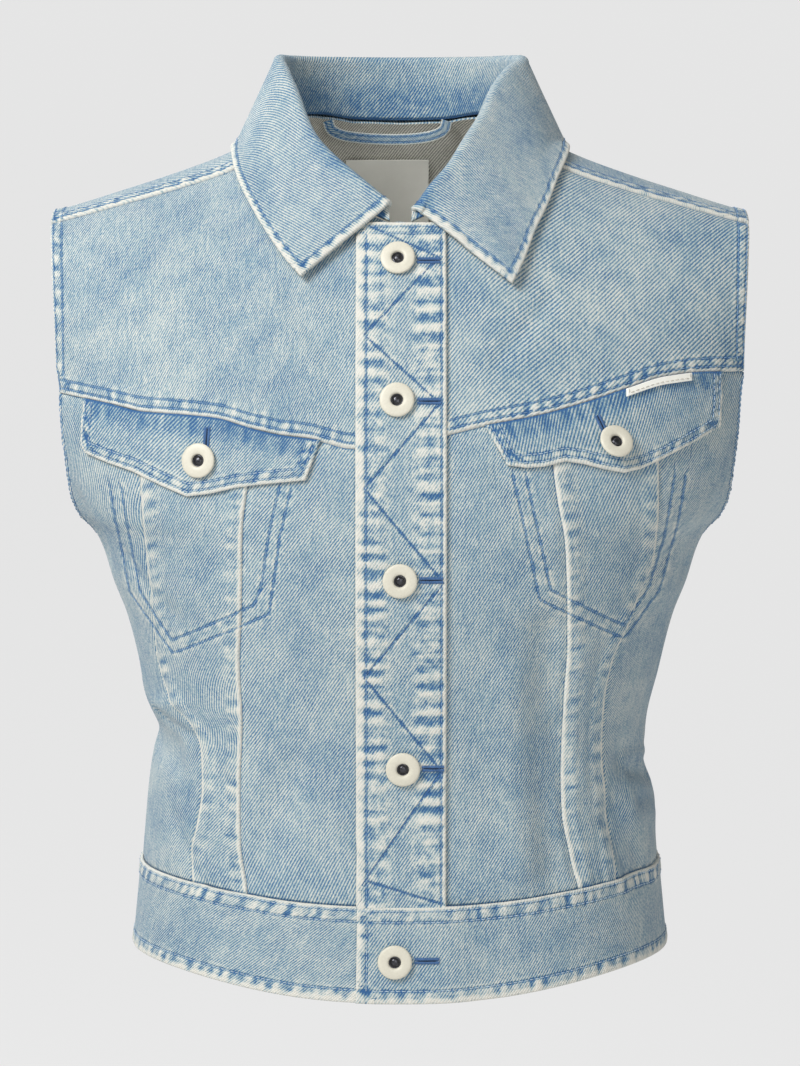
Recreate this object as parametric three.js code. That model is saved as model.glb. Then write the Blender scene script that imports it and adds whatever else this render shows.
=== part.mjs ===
// A cropped denim vest, filled out as if worn: yokes, seamed front and side panels, back,
// button placket, waistband, turned-down collar, two chest flaps and their metal buttons.
// Millimetres. +Z is up, the front faces -Y, and +X is the wearer's left side.
// The origin lies between the two neck ends of the shoulders, on the shoulder ridge.

import * as THREE from 'three';

// Cloth
const CLOTH = 1.8; // one panel with its seam allowances
const GAP = 0.25; // half of the gap between two sewn pieces
const LIE = 0.35; // clearance below a piece that lies on another
const ON_TOP = LIE + CLOTH; // outer face of a piece that lies on a panel

// Body rings, from the hem to the neck: half width, and depth in front of and behind the
// side line. Above the underarm the width is that of the ring that the armhole cuts.
const RINGS = [
  { z: -445, half: 144.5, front: 105, back: 100 },
  { z: -390, half: 139, front: 103.5, back: 97 },
  { z: -345, half: 135, front: 102, back: 90 },
  { z: -312, half: 131.5, front: 104.5, back: 88 },
  { z: -278, half: 138.5, front: 109, back: 91 },
  { z: -250, half: 145.5, front: 113.5, back: 95.5 },
  { z: -232, half: 152.5, front: 116, back: 99 },
  { z: -213, half: 158.5, front: 117.5, back: 102.5 },
  { z: -204, half: 163.3, front: 118, back: 104 },
  { z: -196, half: 171, front: 117.8, back: 105 },
  { z: -185, half: 178, front: 117.3, back: 106 },
  { z: -170, half: 183.5, front: 116.5, back: 107 },
  { z: -150, half: 189.5, front: 114.3, back: 107.8 },
  { z: -120, half: 195, front: 110.5, back: 108 },
  { z: -80, half: 212, front: 106, back: 107 },
  { z: -60, half: 226, front: 103, back: 105.5 },
  { z: -45, half: 262, front: 100, back: 104.5 },
  { z: -36, half: 300, front: 98, back: 103.5 },
  { z: 12, half: 370, front: 93, back: 100 },
  { z: 40, half: 390, front: 91, back: 98 },
];
const RING_POWER = 2.4; // 2 would be an ellipse

// Shoulders: height of their ridge over x, and how the cloth rolls over it above the chest
const RIDGE = [
  { x: 0, z: 30 },
  { x: 40, z: 22 },
  { x: 66, z: 7.5 },
  { x: 72, z: 3.5 },
  { x: 90, z: -6.5 },
  { x: 119, z: -17.5 },
  { x: 143, z: -25.3 },
  { x: 183, z: -37.5 },
  { x: 210, z: -44 },
];
const CHEST_Z = -200;
const FRONT_ROLL = { up: 2.2, out: 2 };
const BACK_ROLL = { up: 2.4, out: 3 };
const FORWARD_SEAM = { neck: -20.5, tip: -16.5 }; // shoulder seam, in degrees in front of the ridge

// Armhole: an oval below its middle, and a table of x over z above it
const ARMHOLE = { middle: -120, drop: 84, spread: 26.3 };
const ARMHOLE_TOP = [
  { z: -120, x: 178.1 },
  { z: -100, x: 178.8 },
  { z: -80, x: 180 },
  { z: -60, x: 181.5 },
  { z: -36, x: 183.5 },
  { z: -30, x: 184 },
];

// Neckline from the centre back round to the centre front, x and degrees from the ridge
const NECKLINE = [
  { x: 0, phi: 26 },
  { x: 26, phi: 22.5 },
  { x: 42, phi: 17 },
  { x: 55, phi: 9 },
  { x: 61.5, phi: 1 },
  { x: 65, phi: -9 },
  { x: 66, phi: -20.5 },
  { x: 61, phi: -26 },
  { x: 54, phi: -30.5 },
  { x: 43, phi: -37 },
  { x: 25, phi: -45 },
  { x: 6, phi: -48.9 },
];
const NECK_SIDE_ROW = 6; // the row where the shoulder seam meets the neckline
const SHOULDER_GAP = 0.15; // half of the gap at the shoulder seam, in degrees

// Seams. The front yoke seam runs across both fronts, x over z.
const YOKE_SEAM = [
  { x: -180, z: -130.5 },
  { x: -150, z: -135 },
  { x: -130, z: -139 },
  { x: -110, z: -140 },
  { x: -92, z: -141.5 },
  { x: -78, z: -145.5 },
  { x: -60, z: -149.5 },
  { x: -39, z: -152 },
  { x: -20, z: -157.5 },
  { x: 4, z: -154 },
  { x: 41, z: -145 },
  { x: 71, z: -139.5 },
  { x: 92, z: -134 },
  { x: 113, z: -127.5 },
  { x: 134, z: -121.5 },
  { x: 156, z: -119.5 },
  { x: 180, z: -120 },
];
const CENTRE_SEAM_LEFT = [
  { z: -390, x: -79 },
  { z: -360, x: -83 },
  { z: -330, x: -82.5 },
  { z: -296, x: -81 },
  { z: -268, x: -82 },
  { z: -237, x: -80.5 },
  { z: -196, x: -79.5 },
  { z: -176, x: -77 },
  { z: -140, x: -75 },
];
const CENTRE_SEAM_RIGHT = [
  { z: -390, x: 94 },
  { z: -365, x: 88.5 },
  { z: -346, x: 85 },
  { z: -320, x: 84 },
  { z: -287, x: 84.5 },
  { z: -257, x: 86 },
  { z: -231, x: 85 },
  { z: -204, x: 83.5 },
  { z: -182, x: 79.5 },
  { z: -130, x: 73 },
];
const SIDE_SEAM_LEFT = [
  { z: -390, x: -107.5 },
  { z: -369, x: -108.5 },
  { z: -354, x: -105 },
  { z: -333, x: -102 },
  { z: -314, x: -102.5 },
  { z: -302, x: -107.5 },
  { z: -289, x: -118 },
  { z: -270, x: -125 },
  { z: -248, x: -127 },
  { z: -222, x: -129 },
  { z: -172, x: -131.5 },
  { z: -130, x: -131.5 },
];
const SIDE_SEAM_RIGHT = [
  { z: -390, x: 113 },
  { z: -366, x: 110.5 },
  { z: -340, x: 107 },
  { z: -316, x: 104 },
  { z: -289, x: 105 },
  { z: -267, x: 109 },
  { z: -247, x: 118 },
  { z: -233, x: 123.5 },
  { z: -214, x: 130 },
  { z: -189, x: 131.5 },
  { z: -115, x: 130 },
];
const BACK_YOKE_Z = -120;
const BACK_SEAM = 146; // degrees round the ring from the centre front

// The largest folds: soft troughs, and ridges where depth is positive. Each runs between two
// places that are given in degrees round the ring and height.
const FOLDS = [
  { theta: [-100, -62], z: [-306, -316], width: 10, depth: -3 },
  { theta: [-96, -60], z: [-288, -297], width: 11, depth: 1.8 },
  { theta: [60, 100], z: [-322, -334], width: 10, depth: -3 },
  { theta: [62, 98], z: [-350, -353], width: 12, depth: 1.5 },
  { theta: [27, 31], z: [-250, -375], width: 11, depth: -2.4 },
  { theta: [20, 23], z: [-275, -368], width: 11, depth: 1.4 },
  { theta: [-21, -29], z: [-322, -378], width: 11, depth: -1.5 },
  { theta: [52, 63], z: [-345, -380], width: 9, depth: -2 },
  { theta: [150, 170], z: [-336, -302], width: 13, depth: -2.8 },
  { theta: [192, 213], z: [-309, -330], width: 13, depth: -2.6 },
  { theta: [166, 181], z: [-372, -350], width: 12, depth: -1.8 },
  { theta: [161, 172], z: [-150, -218], width: 15, depth: -1.8 },
  { theta: [200, 189], z: [-146, -226], width: 15, depth: -2 },
  { theta: [118, 135], z: [-250, -292], width: 13, depth: -2.2 },
  { theta: [-118, -137], z: [-262, -287], width: 13, depth: -2 },
];

// Waistband and hem: heights at the sides and back, and how far they dip at the front
const BAND = { top: -382, topDip: 8.8, hem: -427.5, hemDip: 13, proud: 0.6, liftFrom: 22, liftTo: 46 };
const BAND_DIP_POWER = 4.2; // the higher, the more of the dip lies at the centre front

// Placket: the right front laps over the left one
const PLACKET = { left: -22.3, right: 23.5, top: -44.2 };
const UNDERLAP = 18; // the left front ends here under the placket
const OVERLAP = 20.6; // the right front starts here under the placket
const BAND_END = -22;

// Chest flaps: their lower outlines, from the side corner to the inner corner
const FLAP_LEFT = [
  { x: -162.5, z: -157 },
  { x: -160, z: -161.3 },
  { x: -148, z: -165.5 },
  { x: -135, z: -169.3 },
  { x: -121, z: -175.5 },
  { x: -107, z: -181 },
  { x: -95, z: -179.3 },
  { x: -84, z: -176.5 },
  { x: -73, z: -174.7 },
  { x: -59, z: -173.2 },
  { x: -47, z: -172 },
];
const FLAP_RIGHT = [
  { x: 53.6, z: -164.6 },
  { x: 63, z: -166 },
  { x: 72, z: -165.5 },
  { x: 83, z: -163 },
  { x: 92, z: -164.5 },
  { x: 102, z: -167.2 },
  { x: 112.5, z: -169.3 },
  { x: 121, z: -167.5 },
  { x: 131, z: -163.5 },
  { x: 147, z: -156 },
  { x: 163, z: -148 },
];
const FLAP_LEFT_TOP = { from: -162, to: -39.6 };
const FLAP_RIGHT_TOP = { from: 42.3, to: 165.5 };

// Collar sections from the centre back to the centre front: the top of the roll and the
// free edge, on the left and on the right side
const COLLAR = [
  { fold: [[0, 64, 45], [0, 64, 45]], edge: [[0, 78, -7], [0, 78, -7]] },
  { fold: [[-26, 60, 45], [26, 60, 45]], edge: [[-32, 76, -8], [32, 76, -8]] },
  { fold: [[-47, 48, 44.8], [47, 48, 44.8]], edge: [[-59, 64, -8], [59, 64, -8]] },
  { fold: [[-60.5, 29, 44.6], [61, 29, 44.6]], edge: [[-78, 37, -7], [78, 37, -7]] },
  { fold: [[-64, 10, 43.5], [65, 10, 43]], edge: [[-87, 8, -4], [88, 8, -4]] },
  { fold: [[-60, -3, 37], [56.5, -3, 37]], edge: [[-86, -20, -12], [86, -20, -12]] },
  { fold: [[-54, -18, 24.6], [48, -18, 25.8]], edge: [[-83, -44, -23], [81, -44, -22]] },
  { fold: [[-48.7, -34, 10.7], [41.7, -34, 12]], edge: [[-76, -60, -36], [75.5, -60, -35]] },
  { fold: [[-43, -46, 0], [33, -51, -1.6]], edge: [[-68.7, -72, -47.5], [69, -72, -47.5]] },
  { fold: [[-33.5, -57, -10.2], [24.5, -63, -15]], edge: [[-60, -82, -59.5], [64, -81, -60]] },
  { fold: [[-19.4, -68, -22], [15, -71.5, -26]], edge: [[-54, -88, -66.5], [60, -88, -68.5]] },
  { fold: [[-5, -75, -34], [8, -77, -37]], edge: [[-50, -91, -70.5], [56.7, -91, -74]] },
];
const COLLAR_CLOTH = 2.2;
const ROLL = { radius: 2.7, angles: [-90, -40, 0, 40, 90] };
const STAND_LIFT = 1.4; // the stand's foot above the neckline's edge
// Clearance of the fall from the body, and the more of it where it lies on the placket
const FALL = { clearance: 1.1, onPlacket: CLOTH + 0.6, placketTo: 28, clearFrom: 42 };

// Small pieces
const BUTTON_PROFILE = [
  { r: 0, h: 0 },
  { r: 7.4, h: 0 },
  { r: 8.7, h: 0.9 },
  { r: 8.8, h: 1.5 },
  { r: 8.1, h: 2.3 },
  { r: 5.8, h: 2.7 },
  { r: 3.6, h: 2.3 },
  { r: 3.0, h: 1.1 },
  { r: 1.9, h: 1.1 },
  { r: 1.6, h: 1.8 },
  { r: 0, h: 2.0 },
];
const BUTTON_SIDES = 18;
const BUTTON_SEAT_RADIUS = 6.4; // a tilted button rests on this ring of its back
// lean tips a button's top edge back, in degrees
const BUTTONS = [
  { name: 'button_1', x: -1, z: -62.6, base: ON_TOP, lean: 0 },
  { name: 'button_2', x: -1.5, z: -132.5, base: ON_TOP, lean: 0 },
  { name: 'button_3', x: 0, z: -221.7, base: ON_TOP, lean: 0 },
  { name: 'button_4', x: 1.5, z: -319, base: ON_TOP, lean: 0 },
  { name: 'button_5', x: -2.6, z: -418.5, base: ON_TOP + BAND.proud, lean: 0 },
  { name: 'button_flap_left', x: -100.4, z: -163, base: ON_TOP, lean: 0 },
  { name: 'button_flap_right', x: 107, z: -154.2, base: ON_TOP, lean: 22 },
];
const LOOP = {
  route: [[-39, 43.6, 11.2], [-37.3, 43.2, 6.5], [-32, 43, 3.6], [-20, 48, 1.8], [-4, 50.5, 1.2],
    [10, 50, 1.8], [19, 48.3, 3.6], [24, 48.6, 6.5], [25.5, 49.3, 11.2]],
  width: 6,
  thickness: 1.6,
};
const LABEL = { left: -30, right: 16, top: -8, bottom: -45, thickness: 0.7, clearance: 0.8 };
const TAB = { from: 113.5, to: 147.5, height: 4, thickness: 0.8 };

// Cells of the walls' grids, and steps of the searches for a crossing
const CELLS = {
  front: [6, 4, 3], // a front's centre, middle and side, along the yoke seam
  rows: 13, // up the panels between the waistband and the yokes
  armhole: 14,
  underBackYoke: 3,
  yokeFrontEdge: 3,
  yokeRows: 9,
  shoulderSeam: 6,
  backYokeRows: 12,
  back: 12,
  band: { u: 60, v: 3 },
  placket: 5,
  placketUpperRows: 7,
  placketLowerRows: 16,
  flapRows: 4,
  collarSteps: 2, // for each section of the table
  stand: 3,
  fall: 5,
  loop: 20,
  label: { u: 6, v: 4 },
  tab: { u: 6, v: 1 },
};
const SEARCH_STEPS = 8;

// Colours and finishes
const DENIM = { color: 0x9db6cb, roughness: 0.9, metalness: 0 };
const DENIM_DEEP = { color: 0x86a3c2, roughness: 0.9, metalness: 0 };
const SATIN = { color: 0xdcdad2, roughness: 0.55, metalness: 0 };
const BUTTON_METAL = { color: 0xe6e0cd, roughness: 0.4, metalness: 0.35 };

// Smooth curve through two columns of a table, with no overshoot between its rows
function tableCurve(rows, key, value) {
  const at = rows.map((row) => row[key]);
  const to = rows.map((row) => row[value]);
  const rise = at.slice(1).map((a, i) => (to[i + 1] - to[i]) / (a - at[i]));
  const slope = at.map((_, i) => {
    if (i === 0) return rise[0];
    if (i === at.length - 1) return rise[i - 1];
    if (rise[i - 1] * rise[i] <= 0) return 0;
    const before = at[i] - at[i - 1];
    const after = at[i + 1] - at[i];
    const near = 2 * after + before;
    const far = after + 2 * before;
    return (near + far) / (near / rise[i - 1] + far / rise[i]);
  });
  return (a) => {
    const clamped = THREE.MathUtils.clamp(a, at[0], at[at.length - 1]);
    let i = 0;
    while (i < at.length - 2 && clamped > at[i + 1]) i += 1;
    const span = at[i + 1] - at[i];
    const t = (clamped - at[i]) / span;
    const ease = t * t * (3 - 2 * t);
    return to[i] + (to[i + 1] - to[i]) * ease
      + span * t * (1 - t) * (slope[i] * (1 - t) - slope[i + 1] * t);
  };
}

const radians = THREE.MathUtils.degToRad;
const degrees = THREE.MathUtils.radToDeg;
const lerp = THREE.MathUtils.lerp;
const halfWidth = tableCurve(RINGS, 'z', 'half');
const frontDepth = tableCurve(RINGS, 'z', 'front');
const backDepth = tableCurve(RINGS, 'z', 'back');
const ridgeTable = tableCurve(RIDGE, 'x', 'z');
const armholeTop = tableCurve(ARMHOLE_TOP, 'z', 'x');
const yokeSeam = tableCurve(YOKE_SEAM, 'x', 'z');
const ridgeHeight = (x) => ridgeTable(Math.abs(x));
const signedPower = (value, power) => Math.sign(value) * Math.abs(value) ** power;
const rollOf = (isBack) => (isBack ? BACK_ROLL : FRONT_ROLL);
const reachOf = (isBack, z) => (isBack ? backDepth(z) : frontDepth(z));

// Share of the way from the chest up to the ridge
function riseAt(x, z) {
  return THREE.MathUtils.clamp((z - CHEST_Z) / (ridgeHeight(x) - CHEST_Z), 0, 1);
}

// Depth of the body before the shoulder rolls it in
function ringDepth(x, z, isBack) {
  const spread = Math.min(Math.abs(x) / halfWidth(z), 1);
  return reachOf(isBack, z) * (1 - spread ** RING_POWER) ** (1 / RING_POWER);
}

function shoulderRoll(x, z, isBack) {
  const roll = rollOf(isBack);
  return (1 - riseAt(x, z) ** roll.up) ** (1 / roll.out);
}

// Moves a point of the plain body out or in where a fold passes it
function folded(p) {
  const reach = reachOf(p.y > 0, p.z);
  const out = new THREE.Vector3(p.x / halfWidth(p.z) ** 2, p.y / reach ** 2, 0).normalize();
  const depth = foldLines.reduce((sum, fold) => {
    const far = fold.line.closestPointToPoint(p, true, new THREE.Vector3()).distanceTo(p);
    return sum + fold.depth * Math.exp(-((far / fold.width) ** 2));
  }, 0);
  return p.addScaledVector(out, depth);
}

// Three ways to name a point of the body's surface. Each pair runs so that the first
// direction crossed with the second points outward.

// Round the ring by degrees from the centre front, and height
function plainRingPoint(theta, z) {
  const power = 2 / RING_POWER;
  const cosine = Math.cos(radians(theta));
  const isBack = cosine < 0;
  const x = halfWidth(z) * signedPower(Math.sin(radians(theta)), power);
  const y = -signedPower(cosine, power) * reachOf(isBack, z) * shoulderRoll(x, z, isBack);
  return new THREE.Vector3(x, y, z);
}

const foldLines = FOLDS.map(({ theta, z, width, depth }) => ({
  line: new THREE.Line3(plainRingPoint(theta[0], z[0]), plainRingPoint(theta[1], z[1])),
  width,
  depth,
}));

const ringPoint = (theta, z) => folded(plainRingPoint(theta, z));

// Over the shoulder by x, and degrees from the ridge, negative in front
function shoulderPoint(x, phi) {
  const isBack = phi > 0;
  const roll = rollOf(isBack);
  const rise = Math.cos(radians(phi)) ** (2 / roll.up);
  const z = CHEST_Z + (ridgeHeight(x) - CHEST_Z) * rise;
  const y = ringDepth(x, z, isBack) * signedPower(Math.sin(radians(phi)), 2 / roll.out);
  return folded(new THREE.Vector3(x, y, z));
}

// On the front by x and height
function frontPoint(x, z) {
  return folded(new THREE.Vector3(x, -ringDepth(x, z, false) * shoulderRoll(x, z, false), z));
}

// The same places in degrees round the ring, and in degrees from the ridge
function thetaAt(x, z) {
  return Math.sign(x) * degrees(Math.asin(Math.min(Math.abs(x) / halfWidth(z), 1) ** (RING_POWER / 2)));
}

function phiAt(x, z, isBack) {
  const angle = degrees(Math.acos(riseAt(x, z) ** (rollOf(isBack).up / 2)));
  return isBack ? angle : -angle;
}

// Edge of the armhole's oval, by the angle round it: 0 in front and 180 behind
function armholeLow(angle, side) {
  const around = 90 - ARMHOLE.spread * Math.cos(radians(angle));
  return [side * around, ARMHOLE.middle - ARMHOLE.drop * Math.sin(radians(angle))];
}

// Half width between the armholes at any height
function armholeX(z) {
  if (z >= ARMHOLE.middle) return armholeTop(z);
  const angle = degrees(Math.asin((ARMHOLE.middle - z) / ARMHOLE.drop));
  const [theta] = armholeLow(angle, 1);
  return halfWidth(z) * Math.sin(radians(theta)) ** (2 / RING_POWER);
}

// The same at some degrees from the ridge
function armholeAtPhi(phi) {
  let x = armholeX(ARMHOLE.middle);
  for (let i = 0; i < SEARCH_STEPS; i += 1) x = armholeX(shoulderPoint(x, phi).z);
  return x;
}

// Where a line that is given as x over z meets the front yoke seam
function xOnYokeSeam(line) {
  let x = line(BACK_YOKE_Z);
  for (let i = 0; i < SEARCH_STEPS; i += 1) x = line(yokeSeam(x));
  return x;
}

// Heights of the waistband's two edges round the ring
function bandEdge(theta, side, dip) {
  return side - dip * Math.max(Math.cos(radians(theta)), 0) ** BAND_DIP_POWER;
}
const bandTop = (theta) => bandEdge(theta, BAND.top, BAND.topDip);
const bandHem = (theta) => bandEdge(theta, BAND.hem, BAND.hemDip);

// Outward normal of a surface given by two numbers
function normalAt(point, a, b) {
  const step = 0.05;
  const along = point(a + step, b).sub(point(a - step, b));
  const across = point(a, b + step).sub(point(a, b - step));
  return along.cross(across).normalize();
}

// A patch between four edges that are given in a surface's own two numbers
function patchBetween(low, high, start, end) {
  const corner = [low(0), low(1), high(0), high(1)];
  return (u, v) => [0, 1].map((i) => (1 - v) * low(u)[i] + v * high(u)[i]
    + (1 - u) * start(v)[i] + u * end(v)[i]
    - (1 - u) * ((1 - v) * corner[0][i] + v * corner[2][i])
    - u * ((1 - v) * corner[1][i] + v * corner[3][i]));
}

// The way along a row of stations, evenly by their count
function alongStations(stations) {
  const last = stations.length - 1;
  return (u) => {
    const i = Math.min(Math.floor(u * last), last - 1);
    const t = u * last - i;
    return stations[i].map((value, k) => lerp(value, stations[i + 1][k], t));
  };
}

const straight = (from, to) => (t) => from.map((value, k) => lerp(value, to[k], t));
const evenly = (count) => Array.from({ length: count + 1 }, (_, i) => i / count);

// A closed wall from two grids of points of one size: its outer and its inner face
function wallGeometry(outer, inner) {
  const rows = outer.length;
  const columns = outer[0].length;
  const top = rows - 1;
  const end = columns - 1;
  const points = [...outer.flat(), ...inner.flat()];
  const at = (row, column, face) => (face * rows + row) * columns + column;
  const index = [];
  const quad = (a, b, c, d) => index.push(a, b, c, a, c, d);
  for (let i = 0; i < rows - 1; i += 1) {
    for (let j = 0; j < columns - 1; j += 1) {
      quad(at(i, j, 0), at(i + 1, j, 0), at(i + 1, j + 1, 0), at(i, j + 1, 0));
      quad(at(i, j, 1), at(i, j + 1, 1), at(i + 1, j + 1, 1), at(i + 1, j, 1));
    }
  }
  for (let i = 0; i < rows - 1; i += 1) {
    quad(at(i, 0, 0), at(i, 0, 1), at(i + 1, 0, 1), at(i + 1, 0, 0));
    quad(at(i, end, 0), at(i + 1, end, 0), at(i + 1, end, 1), at(i, end, 1));
  }
  for (let j = 0; j < columns - 1; j += 1) {
    quad(at(0, j, 0), at(0, j + 1, 0), at(0, j + 1, 1), at(0, j, 1));
    quad(at(top, j, 0), at(top, j, 1), at(top, j + 1, 1), at(top, j + 1, 0));
  }
  const geometry = new THREE.BufferGeometry().setFromPoints(points);
  geometry.setIndex(index);
  geometry.computeVertexNormals();
  return geometry;
}

const vest = new THREE.Group();

function addMesh(name, geometry, finish) {
  const mesh = new THREE.Mesh(geometry, new THREE.MeshStandardMaterial(finish));
  mesh.name = name;
  vest.add(mesh);
  return mesh;
}

// A wall on the body's surface: a patch of it between two offsets along the normals
function addWall(name, point, patch, cells, offsets, finish = DENIM) {
  const grid = (face) => evenly(cells.u).map((u) => evenly(cells.v).map((v) => {
    const [a, b] = patch(u, v);
    const offset = typeof offsets[face] === 'function' ? offsets[face](a, b) : offsets[face];
    return point(a, b).addScaledVector(normalAt(point, a, b), offset);
  }));
  addMesh(name, wallGeometry(grid(1), grid(0)), finish);
}

const PANEL = [-CLOTH, 0];
const LYING = [LIE, ON_TOP];

// One front: its yoke, centre, middle and side panels, which share their places on the yoke
// seam. side is -1 or 1 along x.
function addFront(side, word, centreRows, sideRows, frontEdge) {
  const centreSeam = tableCurve(centreRows, 'z', 'x');
  const sideSeam = tableCurve(sideRows, 'z', 'x');
  const armhole = (z) => side * armholeX(z);
  const stops = [frontEdge, ...[centreSeam, sideSeam, armhole].map(xOnYokeSeam)];
  const spans = CELLS.front.map((count, i) => (
    evenly(count).map((u) => lerp(stops[i], stops[i + 1], u))));
  const beside = (seam, gap) => (z) => seam(z) + side * gap;

  addYoke(side, word, [...spans[0], ...spans[1].slice(1), ...spans[2].slice(1)], frontEdge);
  addPanel(side, `front_centre_${word}`, () => frontEdge, beside(centreSeam, -GAP), spans[0]);
  addPanel(side, `front_middle_${word}`, beside(centreSeam, GAP), beside(sideSeam, -GAP), spans[1]);
  addSidePanel(side, `side_${word}`, beside(sideSeam, GAP), spans[2]);
}

// Runs a patch from left to right for either side of the body
function sideways(side, near, far, edges) {
  const turned = side < 0;
  const flip = (edge) => (turned ? (u) => edge(1 - u) : edge);
  return patchBetween(flip(edges.low), flip(edges.high), turned ? far : near, turned ? near : far);
}

// A panel's edge from the waistband up to the place topX on the yoke seam
function uprightEdge(line, topX) {
  const foot = bandTop(thetaAt(line(BAND.top), BAND.top)) + GAP;
  return (v) => {
    const z = lerp(foot, yokeSeam(topX) - GAP, v);
    return [thetaAt(line(z), z), z];
  };
}

// A panel's edge along the waistband, from one edge's foot to another's
function bandEdgeBetween(near, far) {
  return (u) => {
    const theta = lerp(near(0)[0], far(0)[0], u);
    return [theta, bandTop(theta) + GAP];
  };
}

function belowYokeSeam(stations) {
  return stations.map((x) => [thetaAt(x, yokeSeam(x)), yokeSeam(x) - GAP]);
}

function addPanel(side, name, nearLine, farLine, stations) {
  const near = uprightEdge(nearLine, stations[0]);
  const far = uprightEdge(farLine, stations.at(-1));
  const top = [near(1), ...belowYokeSeam(stations.slice(1, -1)), far(1)];
  const edges = { low: bandEdgeBetween(near, far), high: alongStations(top) };
  const cells = { u: stations.length - 1, v: CELLS.rows };
  addWall(name, ringPoint, sideways(side, near, far, edges), cells, PANEL);
}

// From the side seam round under the armhole to the back seam
function addSidePanel(side, name, seamLine, stations) {
  const near = uprightEdge(seamLine, stations[0]);
  const far = (v) => {
    const z = lerp(BAND.top + GAP, BACK_YOKE_Z - GAP, v);
    return [side * (BACK_SEAM - degrees(GAP / halfWidth(z))), z];
  };
  const yoke = [near(1), ...belowYokeSeam(stations.slice(1))];
  const start = degrees(Math.asin(Math.max(ARMHOLE.middle - yoke.at(-1)[1], 0) / ARMHOLE.drop));
  const end = 180 - degrees(Math.asin(GAP / ARMHOLE.drop));
  const onOval = (t) => armholeLow(lerp(start, end, t), side);
  const oval = evenly(CELLS.armhole).slice(1).map(onOval);
  const backYoke = evenly(CELLS.underBackYoke).slice(1).map(straight(oval.at(-1), far(1)));
  const top = [...yoke, ...oval, ...backYoke];
  const edges = { low: bandEdgeBetween(near, far), high: alongStations(top) };
  const cells = { u: top.length - 1, v: CELLS.rows };
  addWall(name, ringPoint, sideways(side, near, far, edges), cells, PANEL);
}

// Front yoke, from the yoke seam up to the shoulder seam and the neckline
function addYoke(side, word, stations, frontEdge) {
  const seam = stations.map((x) => {
    const z = yokeSeam(x) + GAP;
    return [x, phiAt(x, z, false)];
  });
  const { neck: neckPhi, tip: tipPhi } = FORWARD_SEAM;
  const neck = NECKLINE.slice(NECK_SIDE_ROW).reverse().map((row) => [side * row.x, row.phi])
    .filter(([x]) => side * x > side * frontEdge);
  neck[neck.length - 1][1] = neckPhi - SHOULDER_GAP;
  const corner = [frontEdge, NECKLINE.at(-1).phi];
  const rise = evenly(CELLS.yokeFrontEdge).map(straight(seam[0], corner));
  const near = alongStations([...rise, ...neck]);
  const far = (v) => {
    const phi = lerp(seam.at(-1)[1], tipPhi - SHOULDER_GAP, v);
    return [side * armholeAtPhi(phi), phi];
  };
  const high = straight(near(1), far(1));
  const patch = sideways(side, near, far, { low: alongStations(seam), high });
  const cells = { u: stations.length - 1, v: CELLS.yokeRows };
  addWall(`front_yoke_${word}`, shoulderPoint, patch, cells, PANEL);
}

// Back yoke, from the shoulder seams over the ridge and down to the back yoke seam
function addBackYoke() {
  const tipPhi = FORWARD_SEAM.tip + SHOULDER_GAP;
  const tip = [armholeAtPhi(tipPhi), tipPhi];
  const neckSide = NECKLINE.slice(0, NECK_SIDE_ROW + 1).map((row) => [row.x, row.phi]);
  neckSide[NECK_SIDE_ROW][1] += SHOULDER_GAP;
  const strip = evenly(CELLS.shoulderSeam).slice(1).map(straight(neckSide.at(-1), tip));
  const right = [...neckSide, ...strip];
  const left = right.slice(1).reverse().map(([x, phi]) => [-x, phi]);
  const low = alongStations([...left, ...right]);
  const foot = BACK_YOKE_Z + GAP;
  const footX = armholeX(foot);
  const high = (u) => {
    const x = lerp(-footX, footX, u);
    return [x, phiAt(x, foot, true)];
  };
  const armEdge = (side) => (v) => {
    const phi = lerp(tipPhi, phiAt(footX, foot, true), v);
    return [side * armholeAtPhi(phi), phi];
  };
  const patch = patchBetween(low, high, armEdge(-1), armEdge(1));
  const cells = { u: left.length + right.length - 1, v: CELLS.backYokeRows };
  addWall('back_yoke', shoulderPoint, patch, cells, PANEL);
}

function addBackPanel() {
  const row = (z) => {
    const start = BACK_SEAM + degrees(GAP / halfWidth(z));
    return straight([start, z], [360 - start, z]);
  };
  const low = row(BAND.top + GAP);
  const high = row(BACK_YOKE_Z - GAP);
  const patch = patchBetween(low, high, straight(low(0), high(0)), straight(low(1), high(1)));
  addWall('back_panel', ringPoint, patch, { u: CELLS.back, v: CELLS.rows }, PANEL);
}

// The waistband goes once round the hem. Its right end is raised over the left one.
function addWaistband() {
  const mid = (BAND.top + BAND.hem) / 2;
  const start = thetaAt(BAND_END, mid);
  const end = 360 + thetaAt(UNDERLAP, mid);
  const patch = (u, v) => {
    const theta = lerp(start, end, u);
    return [theta, lerp(bandHem(theta), bandTop(theta) - GAP, v)];
  };
  const lift = (theta) => {
    const x = theta < 90 ? ringPoint(theta, mid).x : BAND.liftTo;
    return 1 - THREE.MathUtils.smoothstep(x, BAND.liftFrom, BAND.liftTo);
  };
  const offsets = [
    (theta) => lerp(-CLOTH, LIE + BAND.proud, lift(theta)),
    (theta) => lerp(BAND.proud, ON_TOP + BAND.proud, lift(theta)),
  ];
  addWall('waistband', ringPoint, patch, CELLS.band, offsets);
}

function addPlacket(name, bottom, top, rows) {
  const column = (x) => (v) => [x, lerp(bottom(x), top(x), v)];
  const row = (height) => (u) => {
    const x = lerp(PLACKET.left, PLACKET.right, u);
    return [x, height(x)];
  };
  const patch = patchBetween(row(bottom), row(top), column(PLACKET.left), column(PLACKET.right));
  addWall(name, frontPoint, patch, { u: CELLS.placket, v: rows }, LYING);
}

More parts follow.
